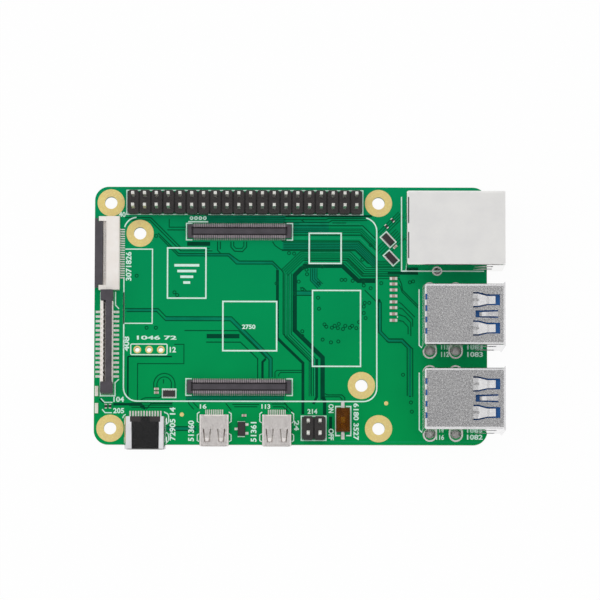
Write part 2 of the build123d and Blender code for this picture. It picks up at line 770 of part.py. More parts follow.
for place, centre in stack_centres.items():
    low = centre - stack_width / 2
    high = centre + stack_width / 2
    middle = (board_top + stack_roof) / 2

    with BuildPart() as shell:
        block((stack_back, stack_front), (low, high), (board_top, stack_roof))
        fillet(shell.edges().filter_by(Axis.Z).group_by(Axis.X)[0], stack_bend)
        fillet(shell.edges().filter_by(Axis.X).group_by(Axis.Z)[-1], stack_bend)
        block((stack_back + stack_sheet, stack_front), (low + stack_sheet, high - stack_sheet),
              (board_top + stack_sheet, stack_roof - stack_sheet), Mode.SUBTRACT)
        # the floor stops short of the back, where the contacts reach the board
        block((stack_back + stack_sheet, stack_front - stack_floor_length),
              (low + stack_sheet, high - stack_sheet),
              (board_top - fit, board_top + stack_sheet + fit), Mode.SUBTRACT)
        # flared mouth
        with BuildSketch(facing_x(stack_front, centre, middle)):
            Rectangle(stack_width, stack_height)
        extrude(amount=lip_length, taper=-lip_angle)
        with BuildSketch(facing_x(stack_front, centre, middle)):
            Rectangle(stack_width - 2 * stack_sheet, stack_height - 2 * stack_sheet)
        extrude(amount=lip_length, taper=-lip_angle, mode=Mode.SUBTRACT)
        # spring fingers in the roof: two that point at the mouth and a short one between that points back
        for shift in (-finger_spread, finger_spread):
            with Locations((finger_root, centre + shift, stack_roof)):
                add(long_window_part, mode=Mode.SUBTRACT)
                add(long_finger_part)
            with BuildSketch(Plane.XY.offset(stack_roof)):
                with Locations((finger_root + rib_past_root, centre + shift)):
                    SlotOverall(rib_length, rib_width)
            extrude(amount=-rib_depth, mode=Mode.SUBTRACT)
        with Locations(Location((stack_front - middle_finger_from_front, centre, stack_roof), (0, 0, 180))):
            add(middle_window_part, mode=Mode.SUBTRACT)
            add(middle_finger_part)
        # one finger in each side of each port
        for side, turn in ((-1, 90), (1, -90)):
            for floor in port_floors:
                wall = (stack_front - side_finger_from_front, centre + side * stack_width / 2,
                        floor + side_finger_level)
                with Locations(Location(wall, (turn, 0, 0))):
                    add(side_window_part, mode=Mode.SUBTRACT)
                    add(side_finger_part)
        # notches along the roof's back edge
        with Locations((stack_back + stack_sheet, centre, stack_roof)):
            with GridLocations(0, rear_notch_pitch, 1, rear_notches):
                Box(rear_notch_depth, rear_notch_length, 4 * stack_sheet, mode=Mode.SUBTRACT)
        # legs through the board
        legs = [(x, y) for x, y in stack_legs_at if low < y < high]
        with Locations(*[(x, y, -tail_length) for x, y in legs]):
            Box(stack_leg_width, stack_sheet, tail_length + board_top + stack_sheet, align=on_top)
    shell.part.label = f"{place}_stack_shell"
    export_step(shell.part, f"parts/{place}_stack_shell.step")

    # folded plate between the two ports
    with BuildPart() as divider:
        divider_x = (stack_back + stack_sheet + carrier_depth + fit, stack_front - stack_sheet)
        divider_y = (low + stack_sheet + fit, high - stack_sheet - fit)
        divider_z = (port_floors[0] + port_height, port_floors[1])
        block(divider_x, divider_y, divider_z)
        block((divider_x[0] - fit, divider_x[1] - stack_sheet), (low, high),
              (divider_z[0] + stack_sheet, divider_z[1] - stack_sheet), Mode.SUBTRACT)
    divider.part.label = f"{place}_stack_divider"
    export_step(divider.part, f"parts/{place}_stack_divider.step")

    # blue moulding: an upright carrier with one tongue for each port, and channels for the contacts
    tongue_tops = [floor + port_height - tongue_below_roof for floor in port_floors]
    carrier_back = stack_back + stack_sheet + fit
    contact_levels = [top - tongue_thickness - stack_contact_sheet / 2 for top in tongue_tops]
    with BuildPart() as moulding:
        block((carrier_back, stack_back + stack_sheet + carrier_depth),
              (low + stack_sheet + fit, high - stack_sheet - fit),
              (board_top, stack_roof - stack_sheet - fit))
        for top in tongue_tops:
            block((carrier_back + carrier_depth / 2, stack_front - tongue_setback),
                  (centre - tongue_width / 2, centre + tongue_width / 2), (top - tongue_thickness, top))
        for tail_x, level in zip(stack_tail_xs, reversed(contact_levels)):
            half_sheet = stack_contact_sheet / 2 + fit
            half_width = stack_contact_width / 2 + fit
            for shift in stack_contact_shifts:
                y = (centre + shift - half_width, centre + shift + half_width)
                block((tail_x - half_sheet, stack_front), y, (level - half_sheet, level + half_sheet - fit),
                      Mode.SUBTRACT)
                block((tail_x - half_sheet, tail_x + half_sheet), y, (board_top - fit, level), Mode.SUBTRACT)
    moulding.part.label = f"{place}_stack_moulding"
    export_step(moulding.part, f"parts/{place}_stack_moulding.step")

    with BuildPart() as contacts:
        with BuildSketch(*[facing_y(centre + shift) for shift in stack_contact_shifts]):
            for tail_x, level in zip(stack_tail_xs, reversed(contact_levels)):
                half_sheet = stack_contact_sheet / 2
                rectangle((tail_x - half_sheet, stack_front - tongue_setback - stack_contact_from_tip),
                          (level - half_sheet, level + half_sheet))
                rectangle((tail_x - half_sheet, tail_x + half_sheet), (-tail_length, level + half_sheet))
        extrude(amount=stack_contact_width / 2, both=True)
    contacts.part.label = f"{place}_stack_contacts"
    export_step(contacts.part, f"parts/{place}_stack_contacts.step")

# ---- oval power port ----
power_middle = board_top + power_height / 2
power_inner = (power_width - 2 * power_sheet, power_height - 2 * power_sheet)
with BuildPart() as power_port_shell:
    with BuildSketch(facing_y(power_back, power_x, power_middle)):
        SlotOverall(power_width, power_height)
        SlotOverall(*power_inner, mode=Mode.SUBTRACT)
    extrude(amount=power_length)
    power_roof = board_top + power_height
    # pressed ovals, and a step each side of a tab at the back of the roof
    with BuildSketch(Plane.XY.offset(power_roof)):
        with Locations((power_x, power_back - power_oval_from_back)):
            with GridLocations(power_oval_spread, 0, 2, 1):
                SlotOverall(power_oval_length, power_oval_width)
    extrude(amount=-power_oval_depth, mode=Mode.SUBTRACT)
    with Locations((power_x, power_back - power_step_width / 2, power_roof)):
        with GridLocations(power_step_spread, 0, 2, 1):
            Box(power_step_length, power_step_width, 2 * power_sheet + fit, mode=Mode.SUBTRACT)
    for x, y in power_legs_at:
        outer = power_sheet / 2
        block((x - outer, x + outer), (y - power_leg_width / 2, y + power_leg_width / 2),
              (board_top - power_leg_depth, power_middle))
power_port_shell.part.label = "power_port_shell"
export_step(power_port_shell.part, "parts/power_port_shell.step")

power_run_level = power_middle + power_tongue_thickness / 2 + power_contact_sheet / 2
power_rear = power_back + power_contact_sheet
with BuildPart() as power_port_tongue:
    with BuildSketch(facing_y(power_back, power_x, power_middle)):
        SlotOverall(power_inner[0] - 2 * fit, power_inner[1] - 2 * fit)
    extrude(amount=power_carrier_length)
    with BuildSketch(facing_y(power_back - power_carrier_length, power_x, power_middle)):
        Rectangle(power_tongue_width, power_tongue_thickness)
    extrude(amount=power_length - power_carrier_length - power_tongue_setback)
    half_width = power_contact_width / 2 + fit
    half_sheet = power_contact_sheet / 2
    for shift in row(power_contacts, power_pitch):
        block((power_x + shift - half_width, power_x + shift + half_width),
              (power_back - power_length, power_back + fit),
              (power_run_level - half_sheet, power_run_level + half_sheet + fit), Mode.SUBTRACT)
power_port_tongue.part.label = "power_port_tongue"
export_step(power_port_tongue.part, "parts/power_port_tongue.step")

with BuildPart() as power_port_contacts:
    with BuildSketch(*[facing_x(power_x + shift) for shift in row(power_contacts, power_pitch)]):
        rectangle((power_back - power_length + power_tongue_setback + power_contact_setback, power_rear),
                  (power_run_level - half_sheet, power_run_level + half_sheet))
        rectangle((power_back, power_rear), (board_top, power_run_level + half_sheet))
        rectangle((power_back, power_back + power_lead_reach), (board_top, board_top + power_contact_sheet))
    extrude(amount=power_contact_width / 2, both=True)
power_port_contacts.part.label = "power_port_contacts"
export_step(power_port_contacts.part, "parts/power_port_contacts.step")

# ---- small video ports ----
video_roof = board_top + video_height
video_finger = [(0, 0, 0.62), (1.9, 0.08, 0.42), (2.7, 0.3, 0.32)]
video_finger_part = spring_finger(video_finger, video_sheet)
video_window_part = finger_window(video_finger, video_finger_slit, video_sheet, video_finger_tip_gap)
video_run_level = board_top + video_run_height + video_contact_sheet / 2
video_rear = video_back + video_contact_sheet
for place, centre in video_centres.items():
    with BuildPart() as shell:
        with BuildSketch(facing_y(video_back, centre, board_top + video_height / 2)) as outline:
            Rectangle(video_width, video_height)
            chamfer(outline.vertices().group_by(Axis.Y)[0], video_chamfer)
            fillet(outline.vertices().group_by(Axis.Y)[-1], video_bend)
            offset(amount=-video_sheet, mode=Mode.SUBTRACT)
        extrude(amount=video_length)
        # two tapered fingers that point at the mouth, and a dimple behind each
        for side in (-1, 1):
            finger_x = centre + side * video_finger_spread / 2
            finger_y = bottom_edge - video_overhang + video_finger_from_front
            with Locations(Location((finger_x, finger_y, video_roof), (0, 0, -90))):
                add(video_window_part, mode=Mode.SUBTRACT)
                add(video_finger_part)
            dimple_x = centre + side * video_dimple_spread / 2
            with BuildSketch(Plane.XY.offset(video_roof)):
                with Locations((dimple_x, video_back - video_dimple_from_back)):
                    SlotOverall(video_dimple_length, video_dimple_width)
            extrude(amount=-video_dimple_depth, mode=Mode.SUBTRACT)
        # the roof's back edge is cut away over the carrier
        block((centre - video_width / 2 + video_shoulder, centre + video_width / 2 - video_shoulder),
              (video_back - video_roof_setback, video_back + fit),
              (video_roof - 2 * video_sheet, video_roof + fit), Mode.SUBTRACT)
        # side feet that stand on the board
        for side in (-1, 1):
            for leg in video_leg_places:
                foot_x = centre + side * (video_width / 2 - video_sheet / 2)
                block((foot_x - video_sheet / 2, foot_x + video_sheet / 2),
                      (video_back - leg - video_leg_width, video_back - leg),
                      (board_top, board_top + video_height / 2))
    shell.part.label = f"{place}_video_port_shell"
    export_step(shell.part, f"parts/{place}_video_port_shell.step")

    half_width = video_contact_width / 2 + fit
    half_sheet = video_contact_sheet / 2
    with BuildPart() as tongue:
        with BuildSketch(facing_y(video_back, centre, board_top + video_height / 2)) as outline:
            Rectangle(video_width - 2 * video_sheet - 2 * fit, video_height - 2 * video_sheet - 2 * fit)
            chamfer(outline.vertices().group_by(Axis.Y)[0], video_chamfer)
        extrude(amount=video_carrier_length)
        tongue_low = video_run_level - half_sheet - video_tongue_thickness
        block((centre - video_tongue_width / 2, centre + video_tongue_width / 2),
              (video_back - video_length + video_tongue_setback, video_back - video_carrier_length),
              (tongue_low, tongue_low + video_tongue_thickness))
        for shift_x in row(video_contacts, video_pitch):
            block((centre + shift_x - half_width, centre + shift_x + half_width),
                  (video_back - video_length, video_back + fit),
                  (video_run_level - half_sheet, video_run_level + half_sheet + fit), Mode.SUBTRACT)
    tongue.part.label = f"{place}_video_port_tongue"
    export_step(tongue.part, f"parts/{place}_video_port_tongue.step")

    with BuildPart() as contacts:
        with BuildSketch(*[facing_x(centre + shift_x) for shift_x in row(video_contacts, video_pitch)]):
            rectangle((video_back - video_length + video_tongue_setback + video_contact_setback, video_rear),
                      (video_run_level - half_sheet, video_run_level + half_sheet))
            rectangle((video_back, video_rear), (board_top, video_run_level + half_sheet))
            rectangle((video_back, video_back + video_lead_reach),
                      (board_top, board_top + video_contact_sheet))
        extrude(amount=video_contact_width / 2, both=True)
    contacts.part.label = f"{place}_video_port_contacts"
    export_step(contacts.part, f"parts/{place}_video_port_contacts.step")

# ---- display ribbon connector: the latch turns up on two pins between the housing's arms ----
display_front = display_x - display_depth
arm_tip = display_front - display_arm_length
pivot_x = arm_tip + latch_pivot_from_arm_tip
pivot_z = board_top + latch_pivot_level
display_low = display_y - display_width / 2
display_high = display_y + display_width / 2
beam_level = board_top + display_beam_level
display_rows = row(display_contacts, display_pitch)
with BuildPart() as display_connector_housing:
    block((display_front, display_x), (display_low, display_high), (board_top, board_top + display_height))
    chamfer(display_connector_housing.edges().filter_by(Axis.Y).group_by(Axis.Z)[-1], display_edge)
    for y in (display_low, display_high - display_arm_width):
        block((arm_tip, display_front), (y, y + display_arm_width),
              (board_top, board_top + display_arm_height))
    block((arm_tip, display_front), (display_low, display_high),
          (board_top, board_top + display_floor_height))
    half_width = display_contact_width / 2 + fit
    half_sheet = display_contact_sheet / 2
    for shift_y in display_rows:
        block((display_front - fit, display_x + fit),
              (display_y + shift_y - half_width, display_y + shift_y + half_width),
              (beam_level - half_sheet - fit, beam_level + half_sheet + fit), Mode.SUBTRACT)
    with Locations(Location((pivot_x, display_y, pivot_z), (90, 0, 0))):
        Cylinder(latch_pin / 2 + fit, display_width - display_arm_width, mode=Mode.SUBTRACT)
display_connector_housing.part.label = "display_connector_housing"
export_step(display_connector_housing.part, "parts/display_connector_housing.step")

latch_span = display_width - 2 * display_arm_width - 2 * latch_side_gap
with BuildPart() as display_connector_latch:
    with BuildSketch(facing_y(display_y, pivot_x, pivot_z)):
        Circle(latch_thickness / 2)
        rectangle((-latch_reach, 0), (-latch_thickness / 2, latch_thickness / 2))
    extrude(amount=latch_span / 2, both=True)
    block((pivot_x - latch_reach, pivot_x - latch_wing_start),
          (display_y - latch_wing_width / 2, display_y + latch_wing_width / 2),
          (pivot_z - latch_thickness / 2, pivot_z + latch_thickness / 2))
    with Locations(Location((pivot_x, display_y, pivot_z), (90, 0, 0))):
        Cylinder(latch_pin / 2, display_width - display_arm_width - 2 * fit)
display_connector_latch.part.label = "display_connector_latch"
export_step(display_connector_latch.part, "parts/display_connector_latch.step")

with BuildPart() as display_connector_contacts:
    with BuildSketch(*[facing_y(display_y + shift_y) for shift_y in display_rows]):
        rectangle((display_front - display_beam_reach, display_x + display_contact_sheet),
                  (beam_level - half_sheet, beam_level + half_sheet))
        rectangle((display_x, display_x + display_contact_sheet), (board_top, beam_level + half_sheet))
        rectangle((display_x, display_x + display_lead_reach), (board_top, board_top + display_contact_sheet))
    extrude(amount=display_contact_width / 2, both=True)
display_connector_contacts.part.label = "display_connector_contacts"
export_step(display_connector_contacts.part, "parts/display_connector_contacts.step")

# ---- camera ribbon connector: the actuator is pulled straight up to free the ribbon ----
camera_left = camera_x - camera_depth / 2
camera_right = camera_x + camera_depth / 2
camera_low = camera_y - camera_width / 2
camera_high = camera_y + camera_width / 2
middle_low = camera_low + camera_end_length + camera_play
middle_high = camera_high - camera_end_length - camera_play
comb_right = camera_left + camera_comb_depth
slot_right = comb_right + camera_slot_depth
wall_left = camera_right - camera_wall
comb_top = board_top + camera_height - camera_comb_drop
camera_rows = [camera_contact_shift + shift_y for shift_y in row(camera_contacts, camera_pitch)]
with BuildPart() as camera_connector_housing:
    block((camera_left, camera_right), (camera_low, camera_high), (board_top, board_top + camera_base_height))
    block((camera_left, comb_right), (middle_low, middle_high), (board_top, comb_top))
    block((slot_right, camera_right), (middle_low, middle_high), (board_top, board_top + camera_shelf_height))
    block((wall_left, camera_right), (middle_low, middle_high), (board_top, board_top + camera_wall_height))
    # slits in the comb, one beside each contact
    for shift_y in camera_rows:
        with Locations((camera_left, camera_y + shift_y, comb_top)):
            Box(camera_comb_depth, camera_contact_width, camera_comb_slit, mode=Mode.SUBTRACT)
camera_connector_housing.part.label = "camera_connector_housing"
export_step(camera_connector_housing.part, "parts/camera_connector_housing.step")

with BuildPart() as camera_connector_actuator:
    top = board_top + camera_height
    bar_x = (slot_right + camera_play, wall_left - camera_play)
    block(bar_x, (camera_low + camera_bar_inset, camera_high - camera_bar_inset),
          (board_top + camera_shelf_height + fit, top))
    for y in ((camera_low, camera_low + camera_end_length), (camera_high - camera_end_length, camera_high)):
        block((camera_left, camera_right), y, (board_top + camera_base_height + fit, top))
    fillet(camera_connector_actuator.edges().filter_by(Axis.Z), camera_edge)
camera_connector_actuator.part.label = "camera_connector_actuator"
export_step(camera_connector_actuator.part, "parts/camera_connector_actuator.step")

with BuildPart() as camera_connector_contacts:
    with BuildSketch(*[facing_y(camera_y + shift_y) for shift_y in camera_rows]):
        for side, face in ((-1, camera_left), (1, camera_right)):
            reach = sorted((face, face + side * camera_lead_reach))
            rise = sorted((face, face + side * camera_contact_sheet))
            rectangle(reach, (board_top, board_top + camera_contact_sheet))
            rectangle(rise, (board_top, board_top + camera_base_height))
    extrude(amount=camera_contact_width / 2, both=True)
    # the blade that grips the ribbon stands in the slot behind the comb
    with Locations(*[(comb_right, camera_y + shift_y, board_top + camera_base_height)
                     for shift_y in camera_rows]):
        Box(camera_contact_sheet, camera_contact_width,
            camera_height - camera_base_height - camera_blade_drop,
            align=(Align.MIN, Align.CENTER, Align.MIN))
camera_connector_contacts.part.label = "camera_connector_contacts"
export_step(camera_connector_contacts.part, "parts/camera_connector_contacts.step")

# ---- module connectors ----
for place, centre in connector_centres.items():
    with BuildPart() as housing:
        inner_width = connector_width - 2 * connector_wall
        inner_length = connector_length - 2 * connector_end_wall
        with Locations((connector_x, centre, board_top)):
            Box(connector_length, connector_width, connector_height, align=on_top)
        chamfer(housing.edges().filter_by(Axis.Z), connector_edge)
        with Locations((connector_x, centre, board_top + connector_floor)):
            Box(inner_length, inner_width, connector_height, align=on_top, mode=Mode.SUBTRACT)
            Box(inner_length - 2 * connector_island_end_gap, connector_island_width,
                connector_height - connector_floor - connector_island_drop, align=on_top)
    housing.part.label = f"{place}_module_connector_housing"
    export_step(housing.part, f"parts/{place}_module_connector_housing.step")

    with BuildPart() as contacts:
        outer = connector_width / 2
        inner = connector_width / 2 - connector_wall
        top = connector_height
        sheet = connector_contact_sheet
        columns = [connector_x + shift_x for shift_x in row(connector_contacts, connector_pitch)]
        with BuildSketch(*[facing_x(x, centre, board_top) for x in columns]):
            rectangle((outer, outer + connector_lead_reach), (0, 2 * sheet))
            rectangle((outer, outer + sheet), (0, top + sheet))
            rectangle((inner - sheet, outer + sheet), (top, top + sheet))
            rectangle((inner - sheet, inner), (connector_floor, top + sheet))
            mirror(about=Plane.YZ)
        extrude(amount=connector_contact_width / 2, both=True)
    contacts.part.label = f"{place}_module_connector_contacts"
    export_step(contacts.part, f"parts/{place}_module_connector_contacts.step")

# ---- mode switch: a knob that slides along a slot under a peel-off film ----
switch_top = board_top + switch_height
slot_y = switch_y + switch_slot_shift
knob_y = slot_y + switch_slot_length / 2 - fit - switch_knob_length / 2
with BuildPart() as mode_switch_body:
    with Locations((switch_x, switch_y, board_top)):
        Box(switch_width, switch_length, switch_height, align=on_top)
    chamfer(mode_switch_body.edges().filter_by(Axis.Z), switch_edge)
    with Locations((switch_x, slot_y, switch_top)):
        Box(switch_slot_width, switch_slot_length, 2 * switch_slot_depth, mode=Mode.SUBTRACT)
mode_switch_body.part.label = "mode_switch_body"
export_step(mode_switch_body.part, "parts/mode_switch_body.step")
with BuildPart() as mode_switch_knob:
    with Locations((switch_x, knob_y, switch_top - switch_slot_depth + fit)):
        Box(switch_slot_width - 4 * fit, switch_knob_length, switch_knob_height, align=on_top)
    chamfer(mode_switch_knob.edges().group_by(Axis.Z)[-1], switch_knob_edge)
mode_switch_knob.part.label = "mode_switch_knob"
export_step(mode_switch_knob.part, "parts/mode_switch_knob.step")
with BuildPart() as mode_switch_film:
    with Locations((switch_x, switch_y, switch_top)):
        Box(switch_width, switch_length, switch_film, align=on_top)
mode_switch_film.part.label = "mode_switch_film"
export_step(mode_switch_film.part, "parts/mode_switch_film.step")
with BuildPart() as mode_switch_leads:
    with BuildSketch(facing_x(switch_x, switch_y, board_top)):
        edge = switch_length / 2
        rectangle((edge, edge + switch_lead_sheet), (0, switch_height / 2))
        rectangle((edge, edge + switch_lead_reach), (0, switch_lead_sheet))
        mirror(about=Plane.YZ)
    extrude(amount=switch_lead_width / 2, both=True)
mode_switch_leads.part.label = "mode_switch_leads"
export_step(mode_switch_leads.part, "parts/mode_switch_leads.step")

# ---- small parts on the component side ----
chip_locations = [Location((x, y, board_top), (0, 0, turn)) for x, y, turn in chips_at]
resistor_locations = [Location((x, y, board_top), (0, 0, turn)) for x, y, turn in resistors_at]
column_locations = [Location((chip_column_x, y, board_top)) for y in chip_column_y]
with BuildPart() as top_chip_bodies:
    with Locations(*chip_locations):
        Box(chip_length - 2 * chip_cap, chip_width, chip_height, align=on_top)
    with Locations(*column_locations):
        Box(column_chip_length - 2 * column_chip_cap, column_chip_width, chip_height, align=on_top)
top_chip_bodies.part.label = "top_chip_bodies"
export_step(top_chip_bodies.part, "parts/top_chip_bodies.step")
with BuildPart() as top_chip_caps:
    with Locations(*chip_locations, *resistor_locations):
        with GridLocations(chip_length - chip_cap, 0, 2, 1):
            Box(chip_cap, chip_width, chip_height, align=on_top)
    with Locations(*column_locations):
        with GridLocations(column_chip_length - column_chip_cap, 0, 2, 1):
            Box(column_chip_cap, column_chip_width, chip_height, align=on_top)
    fillet(top_chip_caps.edges().group_by(Axis.Z)[-1], chip_edge)
top_chip_caps.part.label = "top_chip_caps"
export_step(top_chip_caps.part, "parts/top_chip_caps.step")

under_chip_locations = [Location((x, y, 0), (180, 0, turn)) for x, y, turn in under_chips_at]
with BuildPart() as under_chip_bodies:
    with Locations(*under_chip_locations):
        Box(chip_length - 2 * chip_cap, chip_width, chip_height, align=on_top)
under_chip_bodies.part.label = "under_chip_bodies"
export_step(under_chip_bodies.part, "parts/under_chip_bodies.step")
with BuildPart() as under_chip_caps:
    with Locations(*under_chip_locations):
        with GridLocations(chip_length - chip_cap, 0, 2, 1):
            Box(chip_cap, chip_width, chip_height, align=on_top)
    fillet(under_chip_caps.edges().group_by(Axis.Z)[0], chip_edge)
under_chip_caps.part.label = "under_chip_caps"
export_step(under_chip_caps.part, "parts/under_chip_caps.step")

array_locations = [Location((x, y, board_top), (0, 0, turn)) for x, y, turn in arrays_at]
with BuildPart() as small_packages:
    with Locations(*array_locations):
        Box(array_length, array_width, array_height, align=on_top)
    with Locations(*resistor_locations):
        Box(chip_length - 2 * chip_cap, chip_width, resistor_height, align=on_top)
    with Locations((transistor_x, transistor_y, board_top)):
        Box(transistor_width, transistor_length, transistor_height, align=on_top)
    chamfer(small_packages.edges().group_by(Axis.Z)[-1], package_edge)
small_packages.part.label = "small_packages"
export_step(small_packages.part, "parts/small_packages.step")

with BuildPart() as small_package_leads:
    with Locations(*array_locations):
        with GridLocations(array_lead_pitch, array_width + array_lead_reach, array_leads, 2):
            Box(array_lead_width, array_lead_reach, lead_sheet, align=on_top)
    reach = (transistor_width + transistor_lead_reach) / 2
    leads = [(reach, transistor_lead_spread / 2), (reach, -transistor_lead_spread / 2), (-reach, 0)]
    with Locations(*[(transistor_x + x, transistor_y + y, board_top) for x, y in leads]):
        Box(transistor_lead_reach, transistor_lead_width, lead_sheet, align=on_top)
    inner = (transistor_width + lead_sheet) / 2
    risers = [(inner, transistor_lead_spread / 2), (inner, -transistor_lead_spread / 2), (-inner, 0)]
    with Locations(*[(transistor_x + x, transistor_y + y, board_top) for x, y in risers]):
        Box(lead_sheet, transistor_lead_width, transistor_height / 2, align=on_top)
small_package_leads.part.label = "small_package_leads"
export_step(small_package_leads.part, "parts/small_package_leads.step")

edge_light_x = left_edge + edge_light_inset + edge_light_width / 2
with BuildPart() as edge_lights:
    with Locations(*[(edge_light_x, y, board_top) for y in edge_lights_y]):
        Box(edge_light_width, edge_light_length, edge_light_height, align=on_top)
    fillet(edge_lights.edges().group_by(Axis.Z)[-1], package_edge)
edge_lights.part.label = "edge_lights"
export_step(edge_lights.part, "parts/edge_lights.step")

# ---- memory card socket under the board, open towards the left edge ----
socket_left = card_socket_x - card_socket_length / 2
socket_right = card_socket_x + card_socket_length / 2
socket_low = card_socket_y - card_socket_width / 2
socket_high = card_socket_y + card_socket_width / 2
with BuildPart() as card_socket_shell:
    block((socket_left, socket_right), (socket_low, socket_high), (-card_socket_height, 0))
    block((socket_left - fit, socket_right + fit), (socket_low + card_sheet, socket_high - card_sheet),
          (-card_socket_height + card_sheet, fit), Mode.SUBTRACT)
    with BuildSketch(Plane.XY.offset(-card_socket_height)):
        with Locations((card_socket_x + card_window_shift, card_socket_y)):
            with GridLocations(0, card_window_spread, 1, 2):
                SlotOverall(card_window_length, card_window_width)
    extrude(amount=card_sheet, mode=Mode.SUBTRACT)
card_socket_shell.part.label = "card_socket_shell"
export_step(card_socket_shell.part, "parts/card_socket_shell.step")
card_rows = [card_socket_y + shift_y for shift_y in row(card_contacts, card_contact_pitch)]
card_contact_end = socket_right + card_lead_reach
card_contact_start = socket_right - card_contact_length
with BuildPart() as card_socket_tray:
    block((socket_left + card_tray_setback, socket_right),
          (socket_low + card_sheet + fit, socket_high - card_sheet - fit), (-card_tray_height, 0))
    for y in card_rows:
        block((card_contact_start - fit, socket_right + fit),
              (y - card_contact_width / 2 - fit, y + card_contact_width / 2 + fit),
              (-card_tray_height - fit, fit), Mode.SUBTRACT)
card_socket_tray.part.label = "card_socket_tray"
export_step(card_socket_tray.part, "parts/card_socket_tray.step")
with BuildPart() as card_socket_contacts:
    with BuildSketch(*[facing_y(y) for y in card_rows]):
        rectangle((card_contact_start, card_contact_end), (-card_sheet, 0))
        Polygon((card_contact_start, -card_sheet), (card_contact_start, -card_contact_drop),
                (card_contact_start + card_contact_tip, -card_contact_drop),
                (card_contact_start + card_contact_length * 0.7, -card_sheet), align=None)
    extrude(amount=card_contact_width / 2, both=True)
card_socket_contacts.part.label = "card_socket_contacts"
export_step(card_socket_contacts.part, "parts/card_socket_contacts.step")

# ---- other parts under the board ----
with BuildPart() as hub_chip:
    with Locations((hub_chip_x, hub_chip_y, -hub_pad_height)):
        Box(hub_chip_size, hub_chip_size, hub_chip_height, align=hanging)
    chamfer(hub_chip.edges().group_by(Axis.Z)[0], under_edge)
hub_chip.part.label = "hub_chip"
export_step(hub_chip.part, "parts/hub_chip.step")
with BuildPart() as hub_chip_pads:
    half = hub_chip_size / 2 - hub_pad_length / 2 - hub_pad_inset
    for turn in (0, 90, 180, 270):
        with Locations(Location((hub_chip_x, hub_chip_y, 0), (0, 0, turn))):
            with Locations((0, half, 0)):
                with GridLocations(hub_pad_pitch, 0, hub_pads_each_side, 1):
                    Box(hub_pad_width, hub_pad_length, hub_pad_height, align=hanging)
    with Locations((hub_chip_x, hub_chip_y, 0)):
        Box(hub_heat_pad, hub_heat_pad, hub_pad_height, align=hanging)
hub_chip_pads.part.label = "hub_chip_pads"
export_step(hub_chip_pads.part, "parts/hub_chip_pads.step")

with BuildPart() as power_coil:
    with Locations((coil_x, coil_y, 0)):
        Box(coil_size, coil_size, coil_height, align=hanging)
    chamfer(power_coil.edges().filter_by(Axis.Z), coil_corner)
    fillet(power_coil.edges().group_by(Axis.Z)[0], coil_edge)
power_coil.part.label = "power_coil"
export_step(power_coil.part, "parts/power_coil.step")

with BuildPart() as clock_crystal:
    with Locations((crystal_x, crystal_y, 0)):
        Box(crystal_length, crystal_width, crystal_height, align=hanging)
    fillet(clock_crystal.edges().filter_by(Axis.Z), crystal_corner)
clock_crystal.part.label = "clock_crystal"
export_step(clock_crystal.part, "parts/clock_crystal.step")

with BuildPart() as under_packages:
    with Locations((memory_x, memory_y, -memory_standoff)):
        Box(memory_length, memory_width, memory_height - memory_standoff, align=hanging)
    with Locations(*[(x, y, 0) for x, y in regulators_at]):
        Box(regulator_size, regulator_size, regulator_height, align=hanging)
    chamfer(under_packages.faces().sort_by(Axis.Z)[0].edges(), under_edge)
under_packages.part.label = "under_packages"
export_step(under_packages.part, "parts/under_packages.step")
with BuildPart() as under_package_leads:
    with Locations((memory_x, memory_y, 0)):
        with GridLocations(memory_lead_pitch, memory_width + memory_lead_reach, memory_leads, 2):
            Box(memory_lead_width, memory_lead_reach, 2 * lead_sheet, align=hanging)
        with GridLocations(memory_lead_pitch, memory_width + 2 * lead_sheet, memory_leads, 2):
            Box(memory_lead_width, 2 * lead_sheet, memory_height / 2, align=hanging)
under_package_leads.part.label = "under_package_leads"
export_step(under_package_leads.part, "parts/under_package_leads.step")
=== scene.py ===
import json
import math
import random

import bmesh
import bpy
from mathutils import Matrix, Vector


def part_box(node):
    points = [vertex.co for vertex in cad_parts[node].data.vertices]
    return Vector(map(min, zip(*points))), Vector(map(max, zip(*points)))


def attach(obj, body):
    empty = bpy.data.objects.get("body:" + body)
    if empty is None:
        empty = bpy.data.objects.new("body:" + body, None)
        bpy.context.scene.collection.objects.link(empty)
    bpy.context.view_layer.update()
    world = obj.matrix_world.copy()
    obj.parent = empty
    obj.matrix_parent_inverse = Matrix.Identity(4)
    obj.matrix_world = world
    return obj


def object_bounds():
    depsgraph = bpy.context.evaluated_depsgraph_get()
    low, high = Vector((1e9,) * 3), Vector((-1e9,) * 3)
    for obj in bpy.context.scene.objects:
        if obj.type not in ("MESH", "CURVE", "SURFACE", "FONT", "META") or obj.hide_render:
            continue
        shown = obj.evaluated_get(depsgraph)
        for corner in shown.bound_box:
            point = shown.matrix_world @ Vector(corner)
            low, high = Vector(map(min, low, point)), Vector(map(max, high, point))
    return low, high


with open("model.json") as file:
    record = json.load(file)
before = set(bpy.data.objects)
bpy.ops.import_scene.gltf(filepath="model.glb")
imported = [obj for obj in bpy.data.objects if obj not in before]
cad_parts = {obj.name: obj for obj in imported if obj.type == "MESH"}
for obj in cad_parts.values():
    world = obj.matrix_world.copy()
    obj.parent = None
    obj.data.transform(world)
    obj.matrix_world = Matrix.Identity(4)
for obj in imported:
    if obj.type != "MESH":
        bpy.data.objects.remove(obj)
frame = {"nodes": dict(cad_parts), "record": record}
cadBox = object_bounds()
random.seed(7)

mm = 0.001
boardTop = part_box("circuit_board")[1].z
boardLow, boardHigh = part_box("circuit_board")
print("stage: frame loaded,", len(frame["nodes"]), "nodes")


